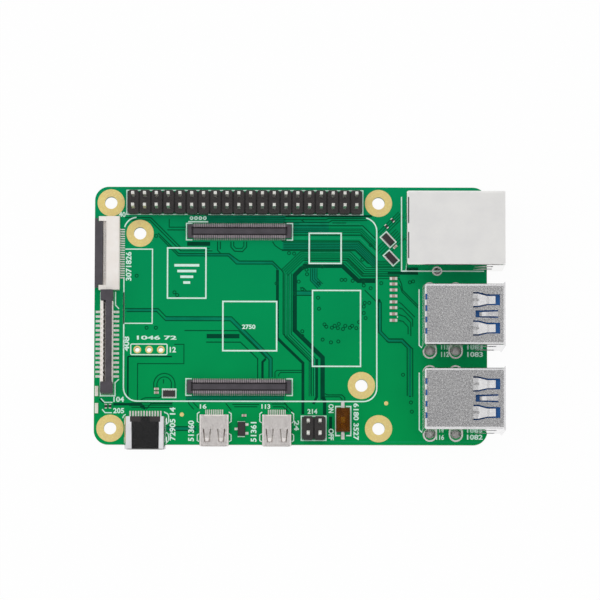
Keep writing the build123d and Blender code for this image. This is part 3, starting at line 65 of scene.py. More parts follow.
# --- camera: a long lens, almost straight down, from a little below the front edge ---
cameraSetup = {
    "lens": 260.8,
    "place": (0.003027, -0.086671, 0.938750),
    "turn": (0.0958, -0.0097, 0.0014),
}
cameraData = bpy.data.cameras.new("camera")
cameraData.lens = cameraSetup["lens"]
cameraData.sensor_width = 36.0
cameraData.clip_start = 0.05
cameraData.clip_end = 20.0
camera = bpy.data.objects.new("camera", cameraData)
camera.location = cameraSetup["place"]
camera.rotation_euler = cameraSetup["turn"]
bpy.context.scene.collection.objects.link(camera)
bpy.context.scene.camera = camera


# --- small tools ---
def hexToLinear(text):
    channels = [int(text[i:i + 2], 16) / 255 for i in (1, 3, 5)]
    return tuple(c / 12.92 if c <= 0.04045 else ((c + 0.055) / 1.055) ** 2.4 for c in channels) + (1.0,)


def addNode(tree, kind, values=None, links=None, **settings):
    node = tree.nodes.new(kind)
    for name, value in settings.items():
        setattr(node, name, value)
    for socket, value in (values or {}).items():
        node.inputs[socket].default_value = value
    for socket, source in (links or {}).items():
        tree.links.new(source, node.inputs[socket])
    return node


def startMaterial(name):
    material = bpy.data.materials.new(name)
    material.use_nodes = True
    tree = material.node_tree
    tree.nodes.clear()
    shader = addNode(tree, "ShaderNodeBsdfPrincipled")
    addNode(tree, "ShaderNodeOutputMaterial", links={"Surface": shader.outputs[0]})
    place = addNode(tree, "ShaderNodeTexCoord").outputs["Object"]
    return material, tree, shader, place


def noiseOf(tree, place, sizeMm, detail=3.0, roughness=0.55):
    return addNode(tree, "ShaderNodeTexNoise", {"Scale": 1 / (sizeMm * mm), "Detail": detail,
                                                "Roughness": roughness}, {"Vector": place}).outputs["Fac"]


def spread(tree, source, low, high, fromLow=0.3, fromHigh=0.7):
    return addNode(tree, "ShaderNodeMapRange", {"From Min": fromLow, "From Max": fromHigh, "To Min": low,
                                                "To Max": high}, {"Value": source}).outputs["Result"]


def mixColours(tree, factor, first, second):
    node = addNode(tree, "ShaderNodeMix", {6: first, 7: second}, {0: factor}, data_type="RGBA")
    return node.outputs[2]


def makeFinish(name, look):
    # colour drifts between two tones over patches, roughness and a fine bump follow the grain
    material, tree, shader, place = startMaterial(name)
    patches = noiseOf(tree, place, look.get("patchMm", 3.0))
    grain = noiseOf(tree, place, look.get("grainMm", 0.15), 4.0, 0.65)
    tone = mixColours(tree, spread(tree, patches, 0, 1), hexToLinear(look["colour"]), hexToLinear(look["tone"]))
    if "fleck" in look:
        flecks = spread(tree, grain, 0, 1, *look.get("fleckFrom", (0.52, 0.72)))
        speckled = addNode(tree, "ShaderNodeMix", {7: hexToLinear(look["fleck"])}, {0: flecks, 6: tone},
                           data_type="RGBA")
        tone = speckled.outputs[2]
    tree.links.new(tone, shader.inputs["Base Color"])
    rough, roughSpread = look.get("rough", 0.45), look.get("roughSpread", 0.06)
    roughness = spread(tree, grain, rough - roughSpread, rough + roughSpread)
    if "sideRough" in look:
        # the pressed top keeps its tumbled skin, the walls stay bright from the die
        normal = addNode(tree, "ShaderNodeNewGeometry").outputs["True Normal"]
        upright = addNode(tree, "ShaderNodeSeparateXYZ", links={"Vector": normal}).outputs["Z"]
        level = spread(tree, upright, 0, 1, 0.3, 0.9)
        roughness = addNode(tree, "ShaderNodeMix", {2: look["sideRough"]}, {0: level, 3: roughness}).outputs[0]
    tree.links.new(roughness, shader.inputs["Roughness"])
    shader.inputs["Metallic"].default_value = look.get("metal", 0.0)
    if "gloss" in look:
        shader.inputs["Specular IOR Level"].default_value = look["gloss"]
    if "coat" in look:
        shader.inputs["Coat Weight"].default_value = look["coat"]
        shader.inputs["Coat Roughness"].default_value = look.get("coatRough", 0.1)
    if "bump" in look:
        bump = addNode(tree, "ShaderNodeBump", {"Strength": look.get("bumpStrength", 0.5),
                                                "Distance": look["bump"] * mm}, {"Height": grain})
        tree.links.new(bump.outputs["Normal"], shader.inputs["Normal"])
    return material


# --- finishes ---
finishes = {
    # gold flash over nickel on copper pads: a soft yellow metal, slightly uneven
    "goldFlash": {"colour": "#ecd684", "tone": "#e6cd8b", "patchMm": 2.0, "grainMm": 0.3, "rough": 0.5,
                  "metal": 0.35, "bump": 0.003, "fleck": "#f6e79d", "fleckFrom": (0.5, 0.72)},
    # bright tin on leads and pin tips: a clean pale metal
    "brightTin": {"colour": "#f4f3ef", "tone": "#dedbd6", "patchMm": 0.8, "grainMm": 0.1, "rough": 0.42,
                  "metal": 1.0},
    # tin on the long row of contacts: each lead stays readable against its dark housing
    "dullTin": {"colour": "#b7aeb2", "tone": "#8f878c", "patchMm": 0.9, "grainMm": 0.1, "rough": 0.5, "metal": 0.9},
    # reflowed solder: satin grey with a little life in it
    "solder": {"colour": "#f2efed", "tone": "#d8d2d0", "patchMm": 0.5, "grainMm": 0.14, "rough": 0.45, "metal": 0.9,
               "bump": 0.02},
    # glass filled nylon of the pin header: near black, faintly warm, matt
    "blackNylon": {"colour": "#2e2a2a", "tone": "#242122", "patchMm": 1.6, "grainMm": 0.12, "rough": 0.5,
                   "bump": 0.006, "fleck": "#3b3634", "fleckFrom": (0.55, 0.8)},
    # black moulded epoxy of small packages: flat with fine grain
    "blackEpoxy": {"colour": "#2a2425", "tone": "#211d1f", "patchMm": 0.8, "grainMm": 0.12, "rough": 0.5,
                   "bump": 0.004, "fleck": "#453a3c", "fleckFrom": (0.55, 0.8)},
    # liquid crystal polymer, dark grey: connector housings with a faint violet cast
    "greyPolymer": {"colour": "#4b464d", "tone": "#3d393f", "patchMm": 2.2, "grainMm": 0.12, "rough": 0.48,
                    "bump": 0.004},
    # the same polymer moulded for the flip latch: smoother
    "darkPolymer": {"colour": "#4e4a50", "tone": "#413e43", "patchMm": 2.0, "grainMm": 0.12, "rough": 0.4},
    # natural polymer: warm white ribbon connector bodies
    "creamPolymer": {"colour": "#fffaf5", "tone": "#f8f1ea", "patchMm": 2.5, "grainMm": 0.15, "rough": 0.5},
    # blue moulded nylon inside the data ports
    "bluePolymer": {"colour": "#1268b4", "tone": "#0c569d", "patchMm": 2.0, "grainMm": 0.2, "rough": 0.38},
    # nickel plated steel sheet, tumbled: mid grey with a sandy speckle
    "tumbledNickel": {"colour": "#d9d8d9", "tone": "#cfced0", "patchMm": 3.0, "grainMm": 0.3, "rough": 0.27,
                      "roughSpread": 0.06, "sideRough": 0.08, "metal": 1.0, "fleck": "#f4f4f4", "fleckFrom": (0.5, 0.66),
                      "bump": 0.02},
    # satin nickel on the video ports: paler and warmer
    "satinNickel": {"colour": "#ece7e4", "tone": "#dfd9d6", "patchMm": 1.2, "grainMm": 0.35, "rough": 0.36,
                    "roughSpread": 0.08, "sideRough": 0.12, "metal": 1.0, "bump": 0.012},
    # brushed tin plate on the network jack: pale and nearly even
    "paleTinplate": {"colour": "#efeeec", "tone": "#e9e8e7", "patchMm": 4.0, "grainMm": 0.3, "rough": 0.5,
                     "sideRough": 0.06, "metal": 1.0, "bump": 0.006},
    # polished steel of the power port: mirrors its surroundings
    "polishedSteel": {"colour": "#dedee0", "tone": "#d2d2d5", "patchMm": 2.0, "grainMm": 0.3, "rough": 0.1,
                      "roughSpread": 0.03, "metal": 1.0},
    # clear lens moulding
    "clearLens": {"colour": "#f7f3ea", "tone": "#eee8da", "patchMm": 0.8, "grainMm": 0.1, "rough": 0.2, "coat": 0.4},
    # fired ceramic of chip capacitors: tan with a pink cast
    "firedCeramic": {"colour": "#c4aaa2", "tone": "#ad9188", "patchMm": 0.5, "grainMm": 0.1, "rough": 0.45},
    # yellow knob under the film
    "yellowAcetal": {"colour": "#ffd85a", "tone": "#f4c848", "patchMm": 0.5, "grainMm": 0.1, "rough": 0.35},
    # screen printed ink: slightly raised, mint white from the mask below
    "printInk": {"colour": "#e9fff6", "tone": "#d4f7ea", "patchMm": 0.6, "grainMm": 0.12, "rough": 0.6,
                 "bump": 0.004},
    # solder mask over bare laminate between tracks: dark bottle green
    "maskGap": {"colour": "#005a36", "tone": "#005030", "patchMm": 4.0, "grainMm": 0.3, "rough": 0.36, "gloss": 0.04},
    # the same mask in wide clearings
    "maskDeep": {"colour": "#004c34", "tone": "#00422c", "patchMm": 4.0, "grainMm": 0.3, "rough": 0.36,
                 "gloss": 0.04},
    # mask over closely packed tracks: a tealer green
    "maskTracks": {"colour": "#058a64", "tone": "#037c5a", "patchMm": 4.0, "grainMm": 0.3, "rough": 0.36,
                   "gloss": 0.04},
    # mask over a lone track: lighter than the pour beside it; the same finish also paints a highlight line along the
    # board's front edge
    "maskLight": {"colour": "#1fa674", "tone": "#159a69", "patchMm": 2.0, "grainMm": 0.3, "rough": 0.36,
                  "gloss": 0.04},
}
metals = {name: makeFinish(name, look) for name, look in finishes.items()}


def makeSolderMask():
    # glossy green mask over copper: bright and even on top, brown green laminate on the cut edge
    look = {"pour": "#00a052", "pourTone": "#00964e", "teal": "#009660", "edge": "#3f8f5c", "patchMm": 14.0,
            "grainMm": 0.35, "rough": 0.34}
    material, tree, shader, place = startMaterial("solderMask")
    patches = noiseOf(tree, place, look["patchMm"], 2.0)
    grain = noiseOf(tree, place, look["grainMm"], 4.0)
    tone = mixColours(tree, spread(tree, patches, 0, 1), hexToLinear(look["pour"]), hexToLinear(look["pourTone"]))
    axes = addNode(tree, "ShaderNodeSeparateXYZ", links={"Vector": place})
    back = spread(tree, axes.outputs["Y"], 0, 1, boardLow.y, boardHigh.y)
    tealward = addNode(tree, "ShaderNodeMix", {7: hexToLinear(look["teal"])}, {0: back, 6: tone}, data_type="RGBA")
    normal = addNode(tree, "ShaderNodeNewGeometry").outputs["Normal"]
    upright = addNode(tree, "ShaderNodeSeparateXYZ", links={"Vector": normal}).outputs["Z"]
    flat = addNode(tree, "ShaderNodeMath", links={0: upright}, operation="ABSOLUTE").outputs[0]
    skin = addNode(tree, "ShaderNodeMix", {6: hexToLinear(look["edge"])}, {0: flat, 7: tealward.outputs[2]},
                   data_type="RGBA")
    tree.links.new(skin.outputs[2], shader.inputs["Base Color"])
    tree.links.new(spread(tree, grain, look["rough"] - 0.05, look["rough"] + 0.05), shader.inputs["Roughness"])
    shader.inputs["Specular IOR Level"].default_value = 0.04
    bump = addNode(tree, "ShaderNodeBump", {"Strength": 0.3, "Distance": 0.004 * mm}, {"Height": grain})
    tree.links.new(bump.outputs["Normal"], shader.inputs["Normal"])
    return material


def makeAmberFilm():
    # polyimide film: clear dark amber that lets the knob glow through, with a hard gloss
    material, tree, shader, place = startMaterial("amberFilm")
    ripple = noiseOf(tree, place, 1.2)
    tone = mixColours(tree, spread(tree, ripple, 0, 1), hexToLinear("#8a5210"), hexToLinear("#6b3a08"))
    tree.links.new(tone, shader.inputs["Base Color"])
    shader.inputs["Roughness"].default_value = 0.12
    shader.inputs["Alpha"].default_value = 0.5
    bump = addNode(tree, "ShaderNodeBump", {"Strength": 0.4, "Distance": 0.03 * mm}, {"Height": ripple})
    tree.links.new(bump.outputs["Normal"], shader.inputs["Normal"])
    return material


solderMask = makeSolderMask()
amberFilm = makeAmberFilm()

nodeFinishes = {
    "circuit_board": solderMask,
    "plated_pads": metals["goldFlash"],
    "mode_switch_film": amberFilm,
    "mode_switch_knob": metals["yellowAcetal"],
    "mode_switch_body": metals["blackEpoxy"],
    "display_connector_latch": metals["darkPolymer"],
    "camera_connector_actuator": metals["greyPolymer"],
    "network_jack_shell": metals["paleTinplate"],
    "power_port_shell": metals["polishedSteel"],
    "card_socket_shell": metals["satinNickel"],
    "clock_crystal": metals["satinNickel"],
    "power_coil": metals["greyPolymer"],
    "edge_lights": metals["clearLens"],
    "network_jack_lights": metals["clearLens"],
    "upper_module_connector_contacts": metals["dullTin"],
    "lower_module_connector_contacts": metals["dullTin"],
}
slotFinishes = {
    "board": solderMask, "gold": metals["goldFlash"], "black": metals["blackNylon"], "grey": metals["greyPolymer"],
    "cream": metals["creamPolymer"], "blue": metals["bluePolymer"], "nickel": metals["tumbledNickel"],
    "pale_steel": metals["paleTinplate"], "tin": metals["brightTin"], "solder": metals["solder"],
    "lamp": metals["clearLens"], "amber": amberFilm, "yellow": metals["yellowAcetal"],
    "ceramic": metals["firedCeramic"],
}
videoNickel = ("left_video_port_shell", "right_video_port_shell")
blackParts = ("small_packages", "hub_chip", "under_packages", "network_jack_housing")
slotOfNode = {entry["node"]: entry["material_slot"] for entry in frame["record"]["subparts"]}
for name, node in frame["nodes"].items():
    material = nodeFinishes.get(name, slotFinishes[slotOfNode[name]])
    if name in videoNickel:
        material = metals["satinNickel"]
    if name in blackParts:
        material = metals["blackEpoxy"]
    node.data.materials.clear()
    node.data.materials.append(material)
print("stage: finishes on", len(frame["nodes"]), "nodes")


# --- flat shapes that stand a hair above the board ---
def prism(mesh, outline, low, high):
    # a closed slab from an outline; outline is a list of (x, y) in metres
    floor = [mesh.verts.new((x, y, low)) for x, y in outline]
    roof = [mesh.verts.new((x, y, high)) for x, y in outline]
    mesh.faces.new(roof)
    mesh.faces.new(list(reversed(floor)))
    count = len(outline)
    for i in range(count):
        j = (i + 1) % count
        mesh.faces.new((floor[i], floor[j], roof[j], roof[i]))


def ribbon(mesh, points, width, low, high, closed=False):
    # a flat strip of even width along a line of points, in millimetres, with mitred corners
    path = [Vector(p) for p in points]
    count = len(path)
    sides = []
    for i in range(count):
        before = path[(i - 1) % count] if closed or i > 0 else None
        after = path[(i + 1) % count] if closed or i < count - 1 else None
        incoming = (path[i] - before).normalized() if before else (after - path[i]).normalized()
        outgoing = (after - path[i]).normalized() if after else incoming
        along = (incoming + outgoing).normalized()
        across = Vector((-along.y, along.x))
        stretch = max(0.35, across.dot(Vector((-incoming.y, incoming.x))))
        sides.append((path[i] + across * width / 2 / stretch, path[i] - across * width / 2 / stretch))
    verts = []
    for left, right in sides:
        verts.append([mesh.verts.new((p.x * mm, p.y * mm, z)) for p, z in
                      ((left, high), (right, high), (right, low), (left, low))])
    last = count if closed else count - 1
    for i in range(last):
        a, b = verts[i], verts[(i + 1) % count]
        for k in range(4):
            mesh.faces.new((a[k], a[(k + 1) % 4], b[(k + 1) % 4], b[k]))
    if not closed:
        mesh.faces.new(list(reversed(verts[0])))
        mesh.faces.new(verts[-1])


def ring(mesh, x, y, outer, inner, low, high, steps=28):
    # a flat ring, or a disc when inner is zero
    turn = [(math.cos(2 * math.pi * i / steps), math.sin(2 * math.pi * i / steps)) for i in range(steps)]
    if inner <= 0:
        prism(mesh, [((x + outer * c) * mm, (y + outer * s) * mm) for c, s in turn], low, high)
        return
    loops = []
    for radius, z in ((outer, low), (outer, high), (inner, high), (inner, low)):
        loops.append([mesh.verts.new(((x + radius * c) * mm, (y + radius * s) * mm, z)) for c, s in turn])
    for k in range(4):
        a, b = loops[k], loops[(k + 1) % 4]
        for i in range(steps):
            j = (i + 1) % steps
            mesh.faces.new((a[i], a[j], b[j], b[i]))


def arc(x, y, radius, start, end, steps=8):
    return [(x + radius * math.cos(math.radians(start + (end - start) * i / steps)),
             y + radius * math.sin(math.radians(start + (end - start) * i / steps))) for i in range(steps + 1)]


def roundedRectangle(left, right, low, high, radius, steps=4):
    radius = max(radius, 0.001)
    return (arc(right - radius, high - radius, radius, 0, 90, steps)
            + arc(left + radius, high - radius, radius, 90, 180, steps)
            + arc(left + radius, low + radius, radius, 180, 270, steps)
            + arc(right - radius, low + radius, radius, 270, 360, steps))


def finishPiece(name, mesh, material, body="board"):
    bmesh.ops.recalc_face_normals(mesh, faces=mesh.faces)
    data = bpy.data.meshes.new(name)
    mesh.to_mesh(data)
    mesh.free()
    piece = bpy.data.objects.new(name, data)
    bpy.context.scene.collection.objects.link(piece)
    data.materials.append(material)
    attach(piece, body)
    return piece


# --- the copper pattern, read through the mask: gaps are darker, tracks are tealer ---
layers = {"deep": 0.004 * mm, "track": 0.008 * mm, "light": 0.012 * mm, "gap": 0.016 * mm, "land": 0.045 * mm,
          "print": 0.035 * mm, "sunk": 0.03 * mm, "step": 0.0001 * mm}


def shifted(points, distance):
    # the same line moved sideways, corners kept sharp; positive is to the left of its direction
    path = [Vector(p) for p in points]
    moved = []
    for i, point in enumerate(path):
        incoming = (point - path[i - 1]).normalized() if i else (path[1] - point).normalized()
        outgoing = (path[i + 1] - point).normalized() if i < len(path) - 1 else incoming
        along = (incoming + outgoing).normalized()
        across = Vector((-along.y, along.x))
        moved.append(tuple(point + across * distance / max(0.35, across.dot(Vector((-incoming.y, incoming.x))))))
    return moved


def bundle(points, count, pitch, first=None):
    start = -(count - 1) * pitch / 2 if first is None else first
    return [shifted(points, start + i * pitch) for i in range(count)]


def circle(x, y, radius, steps=14):
    return [(x + radius * math.cos(2 * math.pi * i / steps), y + radius * math.sin(2 * math.pi * i / steps))
            for i in range(steps)]


copper = {"viaRadius": 0.33, "viaLine": 0.2}

# wide clearings in the pour: width in millimetres, then the line that they follow
deepBands = [
    (0.62, [(7.1, 10.0), (7.1, -4.9), (8.6, -6.4), (12.65, -10.3), (12.65, -21.4)]),
    (0.95, [(12.9, 10.6), (12.2, 10.2), (10.85, 8.8), (10.85, -3.2), (16.9, -9.1), (16.9, -18.2)]),
    (0.75, [(17.0, -17.6), (17.35, -18.6), (17.35, -21.5)]),
    (0.95, [(12.6, 10.85), (21.2, 10.85), (24.6, 7.6), (28.3, 7.6)]),
    (0.95, [(-8.2, -4.5), (-1.1, -4.5)]),
    (0.5, [(4.6, -9.4), (3.9, -10.1), (3.9, -13.6)]),
    (0.5, [(8.3, 21.7), (27.6, 21.7)]),
    (0.35, [(-25.2, -9.0), (-25.2, -18.2)]),
    (0.3, [(-25.3, -8.95), (-15.7, -8.95)]),
    (0.55, [(-28.3, -19.3), (-22.4, -19.3), (-21.4, -20.3)]),
    (0.9, [(-12.5, 15.6), (-7.5, 15.6)]),
    (0.65, [(18.65, -21.9), (18.65, -25.6)]),
    (0.55, [(15.65, -9.4), (15.65, -17.6), (14.9, -19.2)]),
    (0.5, [(29.0, 3.6), (29.25, 3.2), (29.25, -3.6)]),
    (0.5, [(30.6, -5.4), (34.2, -5.4), (35.8, -7.0), (35.8, -17.6)]),
    (0.7, [(31.0, 9.3), (37.6, 9.3)]),
]
# single dark lines
gapLines = [
    (0.2, [(-13.6, 14.55), (-7.6, 14.55)]),
    (0.24, [(-26.0, 21.25), (-20.35, 21.25), (-13.65, 14.55)]),
    (0.24, [(-25.0, 20.75), (-20.6, 20.75), (-13.9, 14.05), (-7.0, 14.05)]),
    (0.26, [(-18.8, 17.9), (-14.35, 13.45), (-3.4, 13.45), (-1.2, 11.85), (6.0, 11.85), (8.0, 9.9), (8.35, 9.4),
            (8.35, -4.0), (14.4, -10.1), (14.4, -17.0)]),
    (0.22, [(-18.6, 17.2), (-14.4, 12.95), (-3.6, 12.95), (-1.8, 11.2), (6.0, 11.2), (7.1, 10.1)]),
    (0.22, [(-25.9, 1.45), (-18.7, 1.45), (-17.0, -0.3), (-2.8, -0.3), (4.2, -7.4), (6.0, -9.3), (6.0, -13.4)]),
    (0.22, [(-25.6, 0.8), (-19.0, 0.8), (-17.1, -1.15), (-3.1, -1.15), (3.5, -7.7), (5.3, -9.6), (5.3, -13.5)]),
    (0.22, [(-13.0, -3.3), (-1.3, -3.3), (3.5, -8.0), (4.7, -9.3)]),
    (0.24, [(-8.3, -5.8), (-0.9, -5.8), (0.8, -7.4), (2.85, -9.4), (2.85, -13.6)]),
    (0.2, [(-23.1, -18.3), (-23.1, -10.5), (-13.1, -10.5), (-13.1, -6.3), (-15.2, -6.3)]),
    (0.2, [(6.6, -13.5), (6.6, -12.3), (7.0, -11.9), (12.4, -11.9)]),
    (0.2, [(7.4, -13.2), (7.4, -12.8), (7.8, -12.35), (12.4, -12.35)]),
    (0.24, [(-3.0, 16.1), (-3.0, 14.9), (-2.2, 14.0), (-0.5, 13.9), (0.4, 14.9), (0.4, 16.1)]),
    (0.2, [(-2.4, 16.1), (-2.4, 15.1), (-1.9, 14.6), (-0.6, 14.6), (-0.2, 15.1), (-0.2, 16.1)]),
    (0.24, [(-5.9, 16.1), (-5.9, 14.2), (-5.3, 13.6)]),
    (0.24, [(-5.3, 16.1), (-5.3, 14.4)]),
    (0.22, [(6.0, 16.1), (6.6, 15.2), (7.8, 14.4), (9.2, 14.2)]),
    (0.24, [(8.4, 19.6), (25.6, 19.6), (28.3, 16.9)]),
    (0.2, [(8.4, 20.3), (18.2, 20.3), (18.9, 20.75), (26.6, 20.75)]),
    (0.2, [(8.4, 20.9), (17.6, 20.9), (18.2, 21.2), (27.0, 21.2)]),
    (0.2, [(12.8, 21.05), (12.4, 20.7), (12.9, 20.4)]),
    (0.2, [(19.0, 20.2), (22.0, 20.2)]),
    (0.3, [(8.0, 17.55), (25.2, 17.55), (28.4, 14.35)]),
    (0.3, [(8.0, 16.25), (24.7, 16.25), (28.4, 12.55)]),
    (0.3, [(8.0, 14.2), (12.2, 14.2), (24.0, 14.2), (26.9, 11.3)]),
    (0.22, [(11.3, 5.35), (14.6, 5.35)]),
    (0.22, [(11.3, 4.4), (14.9, 4.4)]),
    (0.2, [(12.0, 6.1), (12.9, 5.9), (13.4, 5.35)]),
    (0.24, [(26.0, 5.6), (28.4, 3.2), (29.6, 2.9), (29.6, -3.3), (31.2, -5.0), (34.2, -5.0), (36.4, -7.2), (36.4, -17.6)]),
    (0.24, [(28.8, 3.2), (28.95, 2.9), (28.95, -3.5), (31.1, -5.8), (34.0, -5.8), (35.2, -7.0), (35.2, -17.4)]),
    (0.22, [(33.4, 8.2), (34.0, 6.9), (34.2, 5.6), (37.6, 2.2)]),
    (0.22, [(33.4, 6.9), (33.8, 6.2), (34.1, 5.2), (37.6, 1.7)]),
    (0.22, [(33.4, 3.0), (34.0, 2.6), (36.9, -0.3)]),
    (0.22, [(33.4, 1.75), (34.2, 1.5), (36.4, -0.8), (36.4, -2.4)]),
    (0.22, [(33.4, 0.3), (34.8, -0.2), (36.0, -1.5), (36.0, -4.4)]),
    (0.22, [(33.4, -1.0), (34.3, -1.2), (35.4, -2.4), (35.4, -4.0)]),
    (0.24, [(17.2, -16.8), (17.9, -17.2), (21.1, -17.2), (21.7, -17.8), (21.7, -18.9)]),
    (0.22, [(17.4, -17.6), (20.6, -17.6), (21.1, -18.1), (21.1, -18.9)]),
    (0.24, [(-16.6, -24.15), (-10.4, -24.15)]),
    (0.24, [(-16.6, -24.95), (-10.4, -24.95)]),
    (0.22, [(-19.6, -15.9), (-19.6, -14.6)] + arc(-17.3, -14.9, 2.3, 170, 10, 8) + [(-15.0, -15.0), (-15.0, -16.0)]),
    (0.22, [(-18.9, -15.6), (-18.9, -14.8)] + arc(-17.3, -14.9, 1.55, 170, 10, 7) + [(-15.8, -15.0), (-15.8, -16.0)]),
    (0.22, [(-17.5, -13.9), (-17.5, -14.8)]),
    (0.2, [(-12.2, -18.3), (-12.0, -19.2), (-10.9, -20.4)]),
    (0.2, [(-11.2, -18.2), (-11.0, -19.0), (-9.9, -20.1)]),
    (0.22, [(-4.0, -19.1), (-2.8, -20.6)]),
    (0.22, [(-2.6, -19.3), (3.2, -19.3)]),
    (0.22, [(-2.2, -19.8), (2.8, -19.8)]),
    (0.22, [(5.9, -19.2), (8.8, -19.2), (10.6, -21.0)]),
    (0.22, [(6.2, -19.8), (8.4, -19.8), (9.6, -21.0)]),
    (0.2, [(8.6, -18.9), (9.2, -19.4), (9.2, -20.6)]),
    (0.22, [(-24.9, -19.6), (-22.6, -19.6), (-22.0, -20.3)]),
    (0.22, [(-22.4, -18.3), (-21.4, -17.9), (-18.4, -17.9), (-17.8, -17.4)]),
    (0.22, [(-21.2, -20.4), (-20.2, -19.2), (-15.6, -19.2)]),
    (0.3, [(-31.4, -18.2), (-30.4, -19.0)]),
    (0.2, [(-12.4, 20.0), (-12.4, 19.2), (-16.4, 19.2), (-16.4, 21.0)]),
    (0.22, [(-13.0, 18.6), (-16.8, 18.6)]),
]
# packed groups of lines: how many, their pitch and width, and the middle line
gapBundles = [
    (3, 0.38, 0.16, [(8.6, 18.5), (25.2, 18.5), (28.4, 15.3)]),
    (5, 0.36, 0.17, [(8.4, 15.15), (24.3, 15.15), (28.3, 11.15), (33.8, 11.15)]),
    (5, 0.44, 0.18, [(8.7, 9.4), (12.4, 13.0), (22.6, 13.0), (26.0, 9.6), (33.6, 9.6)]),
    (3, 0.5, 0.17, [(12.9, 12.0), (22.0, 12.0), (25.4, 8.6), (33.6, 8.6)]),
    (4, 0.46, 0.18, [(9.4, 9.2), (9.4, -4.3), (14.7, -9.6), (14.7, -17.5)]),
    (4, 0.48, 0.16, [(14.95, 10.3), (14.95, 7.9), (16.4, 6.4)]),
    (7, 0.42, 0.15, [(-8.4, 21.0), (8.6, 21.0)]),
    (6, 0.55, 0.17, [(29.3, 13.4), (33.8, 17.9)]),
    (4, 0.5, 0.17, [(29.4, 17.6), (33.9, 22.1)]),
    (4, 0.36, 0.15, [(-12.6, -18.1), (8.6, -18.1)]),
    (3, 0.5, 0.17, [(-24.4, -19.5), (-15.5, -19.5)]),
]
# stretches where tracks lie close together and give the mask a tealer cast
trackBands = [
    (0.5, [(-14.2, 13.2), (-3.5, 13.2), (-1.5, 11.52), (6.0, 11.52), (7.5, 10.05)]),
    (1.7, [(-8.4, 21.0), (8.8, 21.0)]),
    (2.6, [(8.6, 19.2), (18.2, 19.2)]),
    (1.6, [(8.2, 15.2), (24.3, 15.2), (28.3, 11.2)]),
    (0.6, [(-17.2, -0.72), (-3.0, -0.72), (5.6, -9.4), (5.6, -13.4)]),
    (1.6, [(14.95, 10.3), (14.95, 7.9), (16.3, 6.5)]),
    (0.7, [(11.4, 4.9), (14.8, 4.9)]),
    (0.6, [(-16.6, -24.55), (-10.4, -24.55)]),
    (1.5, [(-12.6, -18.1), (8.6, -18.1)]),
    (0.5, [(-25.5, 1.12), (-18.9, 1.12)]),
    (0.35, [(29.3, 2.9), (29.3, -3.4), (31.2, -5.4), (34.1, -5.4), (35.8, -7.1), (35.8, -17.4)]),
]
# lighter lines over lone tracks, and one painted highlight line along the board's front edge
lightLines = [
    (0.16, [(9.05, 9.3), (9.05, -4.2), (14.1, -9.4), (14.1, -17.4)]),
    (0.16, [(9.8, 9.3), (9.8, -4.0), (15.2, -9.4), (15.2, -17.4)]),
    (0.16, [(8.4, 16.9), (25.0, 16.9), (28.4, 13.5)]),
    (0.16, [(11.8, 20.0), (24.8, 20.0), (28.3, 16.5)]),
    (0.14, [(12.9, 13.75), (22.8, 13.75), (26.3, 10.25), (33.6, 10.25)]),
    (0.14, [(-14.0, 14.3), (-7.0, 14.3)]),
    # painted highlight: a light line just inside the front edge, standing in for light caught by the mask's rounded
    # edge
    (0.14, [(12.0, -27.35), (51.0, -27.35)]),
]
viaPlaces = [
    (9.6, 13.6), (10.7, 13.5), (12.8, 10.5), (13.4, 10.0), (13.5, 9.0), (16.8, 10.7), (25.5, 12.2), (27.3, 15.4),
    (11.7, 7.4), (12.5, 5.8), (10.8, 4.8), (12.5, -3.4), (12.5, -4.4), (21.0, 7.8), (21.8, 7.8), (23.4, 7.6),
    (25.7, 7.3), (25.8, 6.6), (27.3, 6.0), (26.0, 2.8), (27.0, 2.8), (25.8, 2.0), (25.8, 0.6), (26.2, -0.5),
    (24.8, -1.4), (16.1, 1.5), (17.3, -1.9), (17.7, -2.4), (18.9, -2.6), (19.5, -2.2), (20.4, -1.8), (20.2, -2.7),
    (21.3, -2.9), (21.8, -2.2), (22.8, -2.6), (23.3, -2.2), (24.2, -2.7), (16.9, -5.2), (18.7, -5.8), (20.3, -5.6),
    (29.6, 7.1), (35.8, 7.3), (36.5, 7.5), (6.9, 7.0), (-23.4, 8.6), (-15.2, 5.0), (-14.6, 4.4), (-21.2, -2.7),
    (-19.2, -2.7), (-19.2, 17.3), (15.9, 3.9), (34.3, -12.8), (36.0, -18.8), (36.2, -20.8), (16.0, 7.0),
]


def patternPiece(name, lines, layer, material, loops=()):
    mesh = bmesh.new()
    for i, (width, points) in enumerate(lines):
        ribbon(mesh, points, width, boardTop - layers["sunk"], boardTop + layers[layer] + i * layers["step"])
    for x, y, radius, width in loops:
        ring(mesh, x, y, radius + width / 2, radius - width / 2, boardTop - layers["sunk"], boardTop + layers[layer], 18)
    return finishPiece(name, mesh, material)


patternPiece("mask_over_clearings", deepBands, "deep", metals["maskDeep"])
patternPiece("mask_over_tracks", trackBands, "track", metals["maskTracks"])
# the lone tracks, together with the painted highlight line along the front edge
patternPiece("mask_over_lone_tracks_and_painted_edge_highlight", lightLines, "light", metals["maskLight"])
allGaps = list(gapLines)
for count, pitch, width, middle in gapBundles:
    allGaps += [(width, line) for line in bundle(middle, count, pitch)]
patternPiece("mask_over_gaps", allGaps, "gap", metals["maskGap"],
             [(x, y, copper["viaRadius"], copper["viaLine"]) for x, y in viaPlaces])
print("stage: copper pattern,", len(allGaps), "gaps and", len(viaPlaces), "vias")


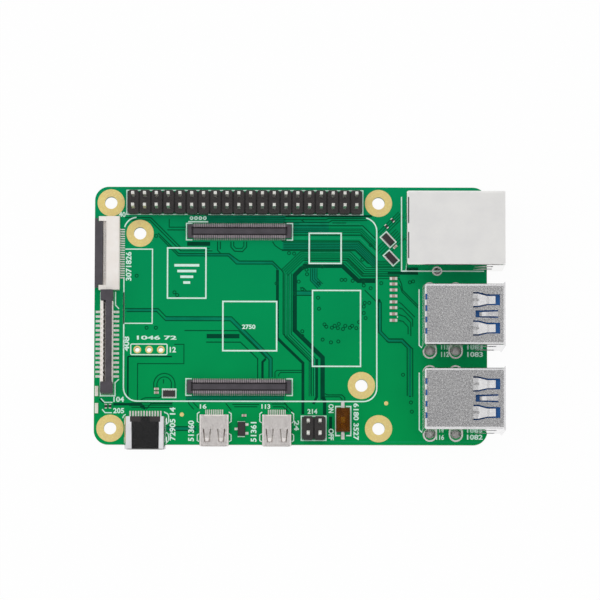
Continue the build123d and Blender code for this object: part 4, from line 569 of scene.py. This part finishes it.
# --- lands: a solder wetted pad under every foot that stands on the board ---
def feetOf(name, reach=0.08 * mm):
    # the footprint of each solid of a node on the board's top face, as boxes in metres
    mesh = bmesh.new()
    mesh.from_mesh(frame["nodes"][name].data)
    bmesh.ops.remove_doubles(mesh, verts=mesh.verts, dist=1e-6)
    seen = set()
    feet = []
    for start in mesh.verts:
        if start in seen:
            continue
        stack, island = [start], []
        seen.add(start)
        while stack:
            vert = stack.pop()
            island.append(vert)
            for edge in vert.link_edges:
                other = edge.other_vert(vert)
                if other not in seen:
                    seen.add(other)
                    stack.append(other)
        low = min(v.co.z for v in island)
        if abs(low - boardTop) > reach:
            continue
        foot = [v.co for v in island if v.co.z < low + reach]
        feet.append((min(p.x for p in foot), max(p.x for p in foot), min(p.y for p in foot), max(p.y for p in foot)))
    mesh.free()
    return feet


landGrowth = {
    # how far a land reaches past its foot along x and along y, in millimetres
    "power_port_contacts": (0.03, 0.15),
    "left_video_port_contacts": (0.02, 0.12),
    "right_video_port_contacts": (0.02, 0.12),
    "display_connector_contacts": (0.12, 0.03),
    "camera_connector_contacts": (0.12, 0.06),
    "mode_switch_leads": (0.12, 0.2),
    "small_package_leads": (0.1, 0.06),
    "chip_capacitor_ends": (0.12, 0.08),
}
lands = bmesh.new()
landCount = 0
for name, (growX, growY) in landGrowth.items():
    if name not in frame["nodes"]:
        print("no node named", name)
        continue
    for left, right, low, high in feetOf(name):
        outline = roundedRectangle(left / mm - growX, right / mm + growX, low / mm - growY, high / mm + growY, 0.06, 2)
        prism(lands, [(x * mm, y * mm) for x, y in outline], boardTop - layers["sunk"], boardTop + layers["land"])
        landCount += 1
finishPiece("solder_lands", lands, metals["solder"])
print("stage:", landCount, "lands")


# --- plated rings round the legs that go through the board ---
legRings = {
    "stack": {"outer": 1.55, "inner": 1.2, "behind": (1.8, 7.4), "inset": 0.15},
    "jack": {"outer": 1.15, "inner": 0.85, "fromBack": 7.0},
    "power": {"halfWidth": 0.55, "halfLength": 1.1, "behind": (0.85, 4.95), "inset": 0.15},
}
rings = bmesh.new()
for place in ("upper", "lower"):
    low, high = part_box(place + "_stack_shell")
    for behind in legRings["stack"]["behind"]:
        for side in (low.y / mm + legRings["stack"]["inset"], high.y / mm - legRings["stack"]["inset"]):
            ring(rings, low.x / mm + behind, side, legRings["stack"]["outer"], legRings["stack"]["inner"],
                 boardTop - layers["sunk"], boardTop + layers["land"])
jackLow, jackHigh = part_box("network_jack_shell")
for side in (jackLow.y / mm + 0.15, jackHigh.y / mm - 0.15):
    ring(rings, jackLow.x / mm + legRings["jack"]["fromBack"], side, legRings["jack"]["outer"],
         legRings["jack"]["inner"], boardTop - layers["sunk"], boardTop + layers["land"])
finishPiece("plated_leg_rings", rings, metals["solder"])


# --- screen printed outlines ---
printed = {"line": 0.24, "thickLine": 0.3, "roundCorner": 2.9}


def rectangleLine(left, right, low, high):
    return [(left, low), (right, low), (right, high), (left, high)]


def turned(points, x, y, degrees):
    c, s = math.cos(math.radians(degrees)), math.sin(math.radians(degrees))
    return [(x + px * c - py * s, y + px * s + py * c) for px, py in points]


headerLow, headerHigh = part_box("pin_header_base")
jumperLow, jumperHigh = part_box("jumper_header_base")
moduleLeft, moduleRight, moduleLow, moduleHigh = -26.15, 28.62, -18.62, 21.35
radius = printed["roundCorner"]
closedOutlines = [
    (0.22, rectangleLine(headerLow.x / mm - 0.22, headerHigh.x / mm + 0.22, 22.0, 27.25)),
    (0.24, rectangleLine(12.3, 17.65, -27.05, -21.8)),
    (0.24, roundedRectangle(-24.6, -16.75, -8.55, -6.25, 0.25)),
    (0.24, rectangleLine(-17.7, -14.8, -17.85, -16.0)),
    (0.32, rectangleLine(13.98, 20.9, 11.38, 17.95)),
    (0.3, rectangleLine(14.7, 25.1, -11.0, 5.5)),
    (0.32, rectangleLine(-4.7, 6.95, -7.65, 3.05)),
    (0.3, rectangleLine(-16.72, -8.4, 3.75, 14.68)),
    (0.26, turned(rectangleLine(-1.55, 1.55, -0.9, 0.9), 31.1, 16.6, -47)),
    (0.26, turned(rectangleLine(-1.55, 1.55, -0.9, 0.9), 31.75, 12.6, -47)),
]
openLines = [
    # the edge of the plug-in module
    (0.28, [(moduleLeft, 5.0), (moduleLeft, moduleLow + radius)]
     + arc(moduleLeft + radius, moduleLow + radius, radius, 180, 270, 8)[1:]
     + [(moduleRight - radius, moduleLow)]
     + arc(moduleRight - radius, moduleLow + radius, radius, 270, 360, 8)[1:]
     + [(moduleRight, moduleHigh - radius)]
     + arc(moduleRight - radius, moduleHigh - radius, radius, 0, 78, 8)[1:]),
    (0.28, arc(moduleLeft + radius, moduleHigh - radius, radius, 95, 165, 7)),
    # the place left of the wireless part
    (0.24, [(moduleLeft, 8.0), (moduleLeft, -1.75), (-20.0, -1.75), (-20.0, 14.4), (-25.9, 14.4)]),
    # camera connector
    (0.24, [(-31.15, 5.05), (-31.15, -17.5), (-27.95, -17.5), (-27.95, -14.65), (-27.15, -13.9)]),
    (0.24, [(-27.95, 5.1), (-27.95, 2.2), (-27.2, 1.4)]),
    # the two edge light resistors
    (0.22, [(-31.0, -18.1), (-30.2, -18.9), (-28.5, -18.9)]),
    (0.22, [(-30.7, -20.4), (-30.1, -21.15), (-28.6, -21.15)]),
    # network jack and data stacks
    (0.26, [(34.0, 25.95), (34.0, 9.75), (51.9, 9.75)]),
    (0.24, [(37.8, 5.8), (37.8, -6.4), (38.4, -7.0)]),
    (0.24, [(37.8, -12.3), (37.8, -24.7), (38.4, -25.3)]),
    # transistor
    (0.2, [(-1.45, -23.05), (0.15, -23.05)]),
    (0.2, [(-1.45, -26.25), (0.15, -26.25)]),
    # slide switch, open where its leads pass
    (0.28, [(20.75, -26.0), (19.75, -26.0), (19.75, -19.7), (20.9, -19.7)]),
    (0.28, [(22.0, -26.0), (23.0, -26.0), (23.0, -19.7), (21.95, -19.7)]),
    # power port
    (0.22, arc(-25.3, -22.4, 0.95, 110, 175, 4)),
    (0.22, [(-17.3, -20.9)] + arc(-17.1, -21.9, 0.75, 90, 0, 4) + arc(-17.1, -22.9, 0.75, 0, -90, 4)),
    (0.22, arc(-17.1, -26.1, 0.75, 90, 0, 4) + arc(-17.1, -26.9, 0.75, 0, -90, 4)),
    # polarity tick of the jumper header
    (0.2, [(12.5, -24.4), (12.8, -24.4)]),
    # marks between the edge parts and the module
    (0.2, [(33.1, -0.4), (33.1, -0.4 + 0.35)]),
]
videoMiddles = []
for place in ("left", "right"):
    low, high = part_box(place + "_video_port_shell")
    middle = (low.x + high.x) / 2 / mm
    videoMiddles.append(middle)
    for side in (-1, 1):
        near, far = middle + side * 3.15, middle + side * 3.65
        openLines.append((0.22, [(near, -20.95), (far, -21.3), (far, -23.0), (near, -23.3)]))
        openLines.append((0.22, [(near, -25.6), (far, -25.9), (far, -27.1), (near, -27.4)]))
for place in ("upper", "lower"):
    low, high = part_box(place + "_module_connector_housing")
    for end, side in ((low.x / mm, -1), (high.x / mm, 1)):
        outer = end + side * 0.25
        inner = end - side * 1.05
        openLines.append((0.24, [(inner, high.y / mm + 0.35), (outer, high.y / mm + 0.35), (outer, low.y / mm - 0.35),
                                 (inner, low.y / mm - 0.35)]))


def printedLines(name, closed, opened):
    mesh = bmesh.new()
    low, high = boardTop - layers["sunk"], boardTop + layers["print"]
    for width, points in closed:
        ribbon(mesh, points, width, low, high, closed=True)
    for width, points in opened:
        ribbon(mesh, points, width, low, high)
    return finishPiece(name, mesh, metals["printInk"])


printedLines("printed_outlines", closedOutlines, openLines)


# --- printed marks: plain numbers, and the two words of the switch ---
marks = {"tallness": 1.42, "bold": 0.0, "spacing": 0.98}
printedMarks = [
    # what it says, its middle, its height in millimetres, its turn in degrees, its width in millimetres
    ("40", -26.6, 21.95, 1.1, 0, 1.5),
    ("3071826", -25.15, 10.65, 1.25, 90, 6.3),
    ("408", -25.55, -6.2, 1.25, 90, 3.2),
    ("12", -15.5, -7.45, 1.2, 0, 1.35),
    ("1046 72", -19.0, -4.85, 0.9, 0, 8.6),
    ("104", -27.15, -18.25, 1.15, 0, 2.3),
    ("205", -27.15, -20.7, 1.15, 0, 2.4),
    ("72905 14", -15.5, -23.55, 1.3, 90, 7.2),
    ("16", -8.9, -19.75, 1.0, 0, 1.45),
    ("113", 4.65, -19.75, 1.0, 0, 1.9),
    ("51360", -11.5, -25.05, 1.3, 90, 4.5),
    ("51361", 2.0, -25.25, 1.3, 90, 4.3),
    ("214", 14.7, -20.8, 1.05, 0, 2.1),
    ("24", 13.3 - 2.0, -23.85, 1.1, -90, 2.2),
    ("ON", 18.75, -20.15, 1.15, -90, 1.9),
    ("OFF", 18.75, -25.75, 1.15, -90, 2.5),
    ("6180 3527", 24.15, -23.0, 1.2, -90, 8.0),
    ("112", 43.4, -8.35, 1.1, 0, 1.7),
    ("1083", 49.9, -8.35, 1.1, 0, 3.4),
    ("116", 42.3, -26.35, 1.1, 0, 1.7),
    ("1082", 49.8, -26.3, 1.1, 0, 3.4),
    ("2750", 0.9, -2.45, 1.0, 0, 2.9),
]


def writeMark(text, x, y, tallMm, degrees, wideMm, low, high):
    letters = bpy.data.curves.new("mark", "FONT")
    letters.body = text
    letters.size = 1.0
    letters.offset = 0.03
    letters.resolution_u = 3
    letters.extrude = 0.5
    holder = bpy.data.objects.new("mark", letters)
    bpy.context.scene.collection.objects.link(holder)
    bpy.context.view_layer.update()
    mesh = bpy.data.meshes.new_from_object(holder.evaluated_get(bpy.context.evaluated_depsgraph_get()))
    bpy.data.objects.remove(holder)
    bpy.data.curves.remove(letters)
    xs = [v.co.x for v in mesh.vertices]
    ys = [v.co.y for v in mesh.vertices]
    wide, tall = max(xs) - min(xs), max(ys) - min(ys)
    middleX, middleY = (max(xs) + min(xs)) / 2, (max(ys) + min(ys)) / 2
    c, s = math.cos(math.radians(degrees)), math.sin(math.radians(degrees))
    for vert in mesh.vertices:
        px = (vert.co.x - middleX) * wideMm / wide
        py = (vert.co.y - middleY) * tallMm / tall
        z = high if vert.co.z > 0 else low
        vert.co = ((x + px * c - py * s) * mm, (y + px * s + py * c) * mm, z)
    return mesh


marksMesh = bmesh.new()
for text, x, y, tallMm, degrees, wideMm in printedMarks:
    letters = writeMark(text, x, y, tallMm, degrees, wideMm, boardTop - layers["sunk"], boardTop + layers["print"])
    marksMesh.from_mesh(letters)
    bpy.data.meshes.remove(letters)
bmesh.ops.remove_doubles(marksMesh, verts=marksMesh.verts, dist=1e-7)
finishPiece("printed_marks", marksMesh, metals["printInk"])

# a filled label with its number left open, by the pin header
plate = bmesh.new()
for x in (-11.55, -10.6, -9.65, -8.7):
    ring(plate, x, 21.2, 0.42, 0.16, boardTop - layers["sunk"], boardTop + layers["print"], 12)
ribbon(plate, [(-12.3, 22.05), (-7.95, 22.05)], 0.3, boardTop - layers["sunk"], boardTop + layers["print"])
ribbon(plate, [(-12.3, 20.4), (-7.95, 20.4)], 0.3, boardTop - layers["sunk"], boardTop + layers["print"])
finishPiece("printed_plate", plate, metals["printInk"])

# generic hatch where the wireless symbol of such a board would be
hatch = bmesh.new()
for step in range(4):
    across = 5.4 - 1.3 * step
    ribbon(hatch, [(-12.55 - across / 2, 10.9 - 1.25 * step), (-12.55 + across / 2, 10.9 - 1.25 * step)], 0.55,
           boardTop - layers["sunk"], boardTop + layers["print"])
finishPiece("printed_hatch", hatch, metals["printInk"])
print("stage: print on the board")


# --- floor, light and world ---
studio = {"floorSize": 3.0, "floorDrop": 0.0, "floorWhite": "#fbfbfb", "glow": 0.96, "worldLight": 0.62,
          "overheadPower": 5.2, "overheadSize": 1.1, "overheadPlace": (-0.12, 0.16, 1.35),
          # the ceiling over a table is dark: metal that lies flat mirrors it, tilted metal mirrors the pale walls
          "ceilingDark": 0.02, "ceilingInner": 7.0, "ceilingOuter": 13.0}
floorLevel = min(cadBox[0][2], 0.0) - studio["floorDrop"] * mm
floorMesh = bpy.data.meshes.new("floor")
half = studio["floorSize"] / 2
floorMesh.from_pydata([(-half, -half, floorLevel), (half, -half, floorLevel), (half, half, floorLevel),
                       (-half, half, floorLevel)], [], [(0, 1, 2, 3)])
floor = bpy.data.objects.new("floor", floorMesh)
bpy.context.scene.collection.objects.link(floor)

floorMaterial = bpy.data.materials.new("paperSweep")
floorMaterial.use_nodes = True
tree = floorMaterial.node_tree
tree.nodes.clear()
paper = addNode(tree, "ShaderNodeBsdfDiffuse", {"Color": hexToLinear(studio["floorWhite"])})
glow = addNode(tree, "ShaderNodeEmission", {"Color": (1.0, 1.0, 1.0, 1.0), "Strength": 1.0})
rays = addNode(tree, "ShaderNodeLightPath")
seen = addNode(tree, "ShaderNodeMath", links={0: rays.outputs["Is Camera Ray"], 1: rays.outputs["Is Glossy Ray"]},
               operation="MAXIMUM")
seenThrough = addNode(tree, "ShaderNodeMath", links={0: seen.outputs[0], 1: rays.outputs["Is Transmission Ray"]},
                      operation="MAXIMUM")
share = addNode(tree, "ShaderNodeMath", {1: studio["glow"]}, {0: seenThrough.outputs[0]}, operation="MULTIPLY")
sweep = addNode(tree, "ShaderNodeMixShader", links={0: share.outputs[0], 1: paper.outputs[0], 2: glow.outputs[0]})
addNode(tree, "ShaderNodeOutputMaterial", links={"Surface": sweep.outputs[0]})
floorMesh.materials.append(floorMaterial)

world = bpy.data.worlds.new("studio")
bpy.context.scene.world = world
world.use_nodes = True
tree = world.node_tree
tree.nodes.clear()
rays = addNode(tree, "ShaderNodeLightPath")
direct = addNode(tree, "ShaderNodeMath", links={0: rays.outputs["Is Camera Ray"], 1: rays.outputs["Is Glossy Ray"]},
                 operation="MAXIMUM")
strength = addNode(tree, "ShaderNodeMapRange", {"To Min": studio["worldLight"], "To Max": 1.0},
                   {"Value": direct.outputs[0]})
heading = addNode(tree, "ShaderNodeSeparateXYZ", links={"Vector": addNode(tree, "ShaderNodeTexCoord").outputs[0]})
ceiling = addNode(tree, "ShaderNodeMapRange", {"From Min": math.cos(math.radians(studio["ceilingOuter"])),
                                               "From Max": math.cos(math.radians(studio["ceilingInner"])),
                                               "To Min": 1.0, "To Max": studio["ceilingDark"]},
                  {"Value": heading.outputs["Z"]}, interpolation_type="SMOOTHSTEP")
mirrored = addNode(tree, "ShaderNodeMix", {2: 1.0}, {0: rays.outputs["Is Glossy Ray"], 3: ceiling.outputs[0]})
strength = addNode(tree, "ShaderNodeMath", links={0: strength.outputs[0], 1: mirrored.outputs[0]},
                   operation="MULTIPLY")
sky = addNode(tree, "ShaderNodeBackground", {"Color": (1.0, 1.0, 1.0, 1.0)}, {"Strength": strength.outputs[0]})
addNode(tree, "ShaderNodeOutputWorld", links={"Surface": sky.outputs[0]})

lampData = bpy.data.lights.new("overhead", "AREA")
lampData.size = studio["overheadSize"]
lampData.energy = studio["overheadPower"]
lamp = bpy.data.objects.new("overhead", lampData)
lamp.visible_glossy = False
lamp.location = studio["overheadPlace"]
lamp.rotation_euler = (Vector((0.01, 0.0, 0.0)) - lamp.location).to_track_quat("-Z", "Y").to_euler()
bpy.context.scene.collection.objects.link(lamp)
bpy.context.scene.view_settings.view_transform = "Standard"
print("stage: floor and light")
